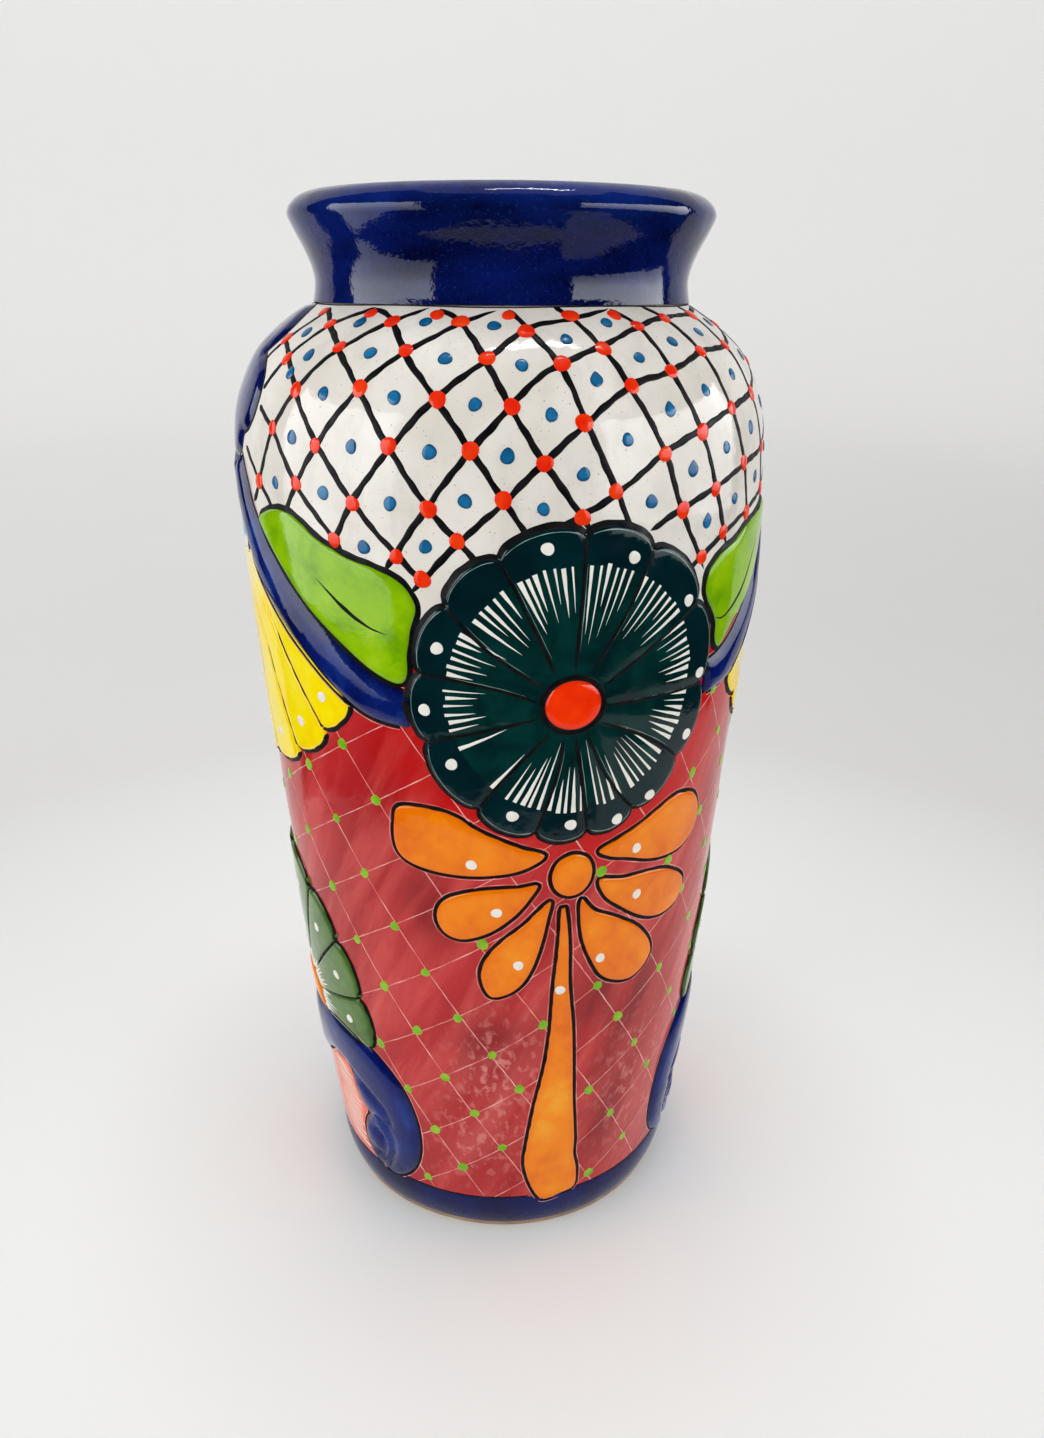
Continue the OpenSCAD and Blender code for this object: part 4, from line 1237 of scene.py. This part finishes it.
def room():
    """A round pale floor that curves up into a wall all the way round."""
    shape = Shape()
    sides, radius, bend, tall = 96, 2.4, 0.7, 1.7
    outline = [(0.0, 0.0)] + [(radius * s, 0.0) for s in (0.1, 0.3, 0.6, 1)]
    outline += [(radius + bend * math.sin(math.radians(a)), bend - bend * math.cos(math.radians(a)))
                for a in range(10, 91, 10)] + [(radius + bend, tall)]
    a = np.arange(sides) * 2 * math.pi / sides
    rings = [(r * math.sin(t), r * math.cos(t), z) for r, z in outline[1:] for t in a]
    points = np.array([(0, 0, 0)] + rings)
    faces = [(0, 1 + (i + 1) % sides, 1 + i) for i in range(sides)]
    faces += ring_quads(len(outline) - 1, sides, first=1)
    floor = linked("floor", points.tolist(), faces, paper_with_painted_light_and_shade())
    floor.data.polygons.foreach_set("use_smooth", [True] * len(faces))


def lamp(name, place, aim, size, power, seen=False):
    """A soft lamp that only lights, or one that is only seen, as a glint in the glaze."""
    data = bpy.data.lights.new(name, "AREA")
    data.shape = "RECTANGLE"
    data.size, data.size_y = size
    data.energy = power
    light = bpy.data.objects.new(name, data)
    light.location = place
    light.rotation_euler = (Vector(aim) - Vector(place)).to_track_quat("-Z", "Y").to_euler()
    light.visible_glossy = seen
    light.visible_diffuse = not seen
    bpy.context.scene.collection.objects.link(light)


def window_glow(name, window, strength):
    """Dark cloth with one lit window in it, between two azimuths and two heights in metres."""
    r = Recipe(name)
    split = r.node("ShaderNodeSeparateXYZ")
    r.link(r.place, split.inputs[0])
    az = r.combine("ARCTAN2", split.outputs["X"], r.times(split.outputs["Y"], -1))
    left, right, low, high = window
    soft_turn, soft_height = math.radians(1.2), 0.008
    left, right = math.radians(left), math.radians(right)
    across = r.times(r.scale(az, left, left + soft_turn), r.scale(az, right, right - soft_turn))
    height = split.outputs["Z"]
    tall = r.times(r.scale(height, low, low + soft_height),
                   r.scale(height, high, high - soft_height))
    fall = r.scale(height, low, high, 0.55, 1.3)
    glow = r.times(r.times(across, tall), fall)
    light = r.node("ShaderNodeEmission")
    r.link(r.mix(glow, (0.02, 0.02, 0.025), (0.93, 0.97, 1.0)), light.inputs["Color"])
    r.link(r.scale(glow, 0, 1.3, 0.5, strength), light.inputs["Strength"])
    out = r.node("ShaderNodeOutputMaterial")
    r.link(light.outputs[0], out.inputs["Surface"])
    r.material.cycles.emission_sampling = "NONE"
    return r.material


def room_card(name, left, right, far, tall, window, strength):
    """The dim room behind the photographer, which only the gloss of the glaze picks up."""
    turns = [math.radians(a) for a in np.linspace(left, right, 24)]
    sides = len(turns)
    points = [(far * math.sin(a), -far * math.cos(a), z) for z in (0.002, tall) for a in turns]
    faces = [(i, i + 1, sides + i + 1, sides + i) for i in range(sides - 1)]
    card = linked(name, points, faces, window_glow(name, window, strength))
    card.visible_camera = card.visible_diffuse = card.visible_shadow = False


room()
room_card("dim_room_left", -124, 24, 0.385, 1.3, (-106, -52, 0.145, 0.50), 7)
room_card("dim_room_right", 14, 98, 0.56, 1.3, (22, 93, 0.205, 0.545), 8)
lamp("window_left", (-1.35, -0.6, 0.7), (0, 0, 0.3), (1.5, 1.2), 7.5)
lamp("window_right", (1.2, -0.95, 0.7), (0, 0, 0.3), (1.3, 1.0), 5)
lamp("ceiling", (-0.1, 0.1, 2.4), (0, 0, 0), (2.2, 2.2), 8)
lamp("wall_wash", (0, 0.6, 2.4), (0, 3.1, 0.9), (2.0, 0.8), 9)
lamp("tube", (0.18, 0.02, 1.7), (0.18, 0.02, 0), (0.6, 0.03), 4, seen=True)

world = bpy.data.worlds.new("soft_room")
world.use_nodes = True
world.node_tree.nodes["Background"].inputs["Color"].default_value = (1, 0.992, 0.98, 1)
world.node_tree.nodes["Background"].inputs["Strength"].default_value = 0.70
bpy.context.scene.world = world
bpy.context.scene.view_settings.view_transform = "Standard"

# ---- Camera ---------------------------------------------------------------------------------


def photographer():
    """A phone camera held close, just below the height of the rim and looking down."""
    data = bpy.data.cameras.new("camera")
    data.sensor_width = 36
    data.lens = 27.46
    data.clip_start = 0.01
    camera = bpy.data.objects.new("camera", data)
    camera.location = (-0.0999, -0.4129, 0.3726)
    pitch, yaw, roll = math.radians(90 - 21.81), math.radians(-14.68), math.radians(0.284)
    camera.rotation_mode = "QUATERNION"
    camera.rotation_quaternion = (Quaternion((0, 0, 1), yaw) @ Quaternion((1, 0, 0), pitch)
                                  @ Quaternion((0, 0, 1), roll))
    bpy.context.scene.collection.objects.link(camera)
    bpy.context.scene.camera = camera


photographer()
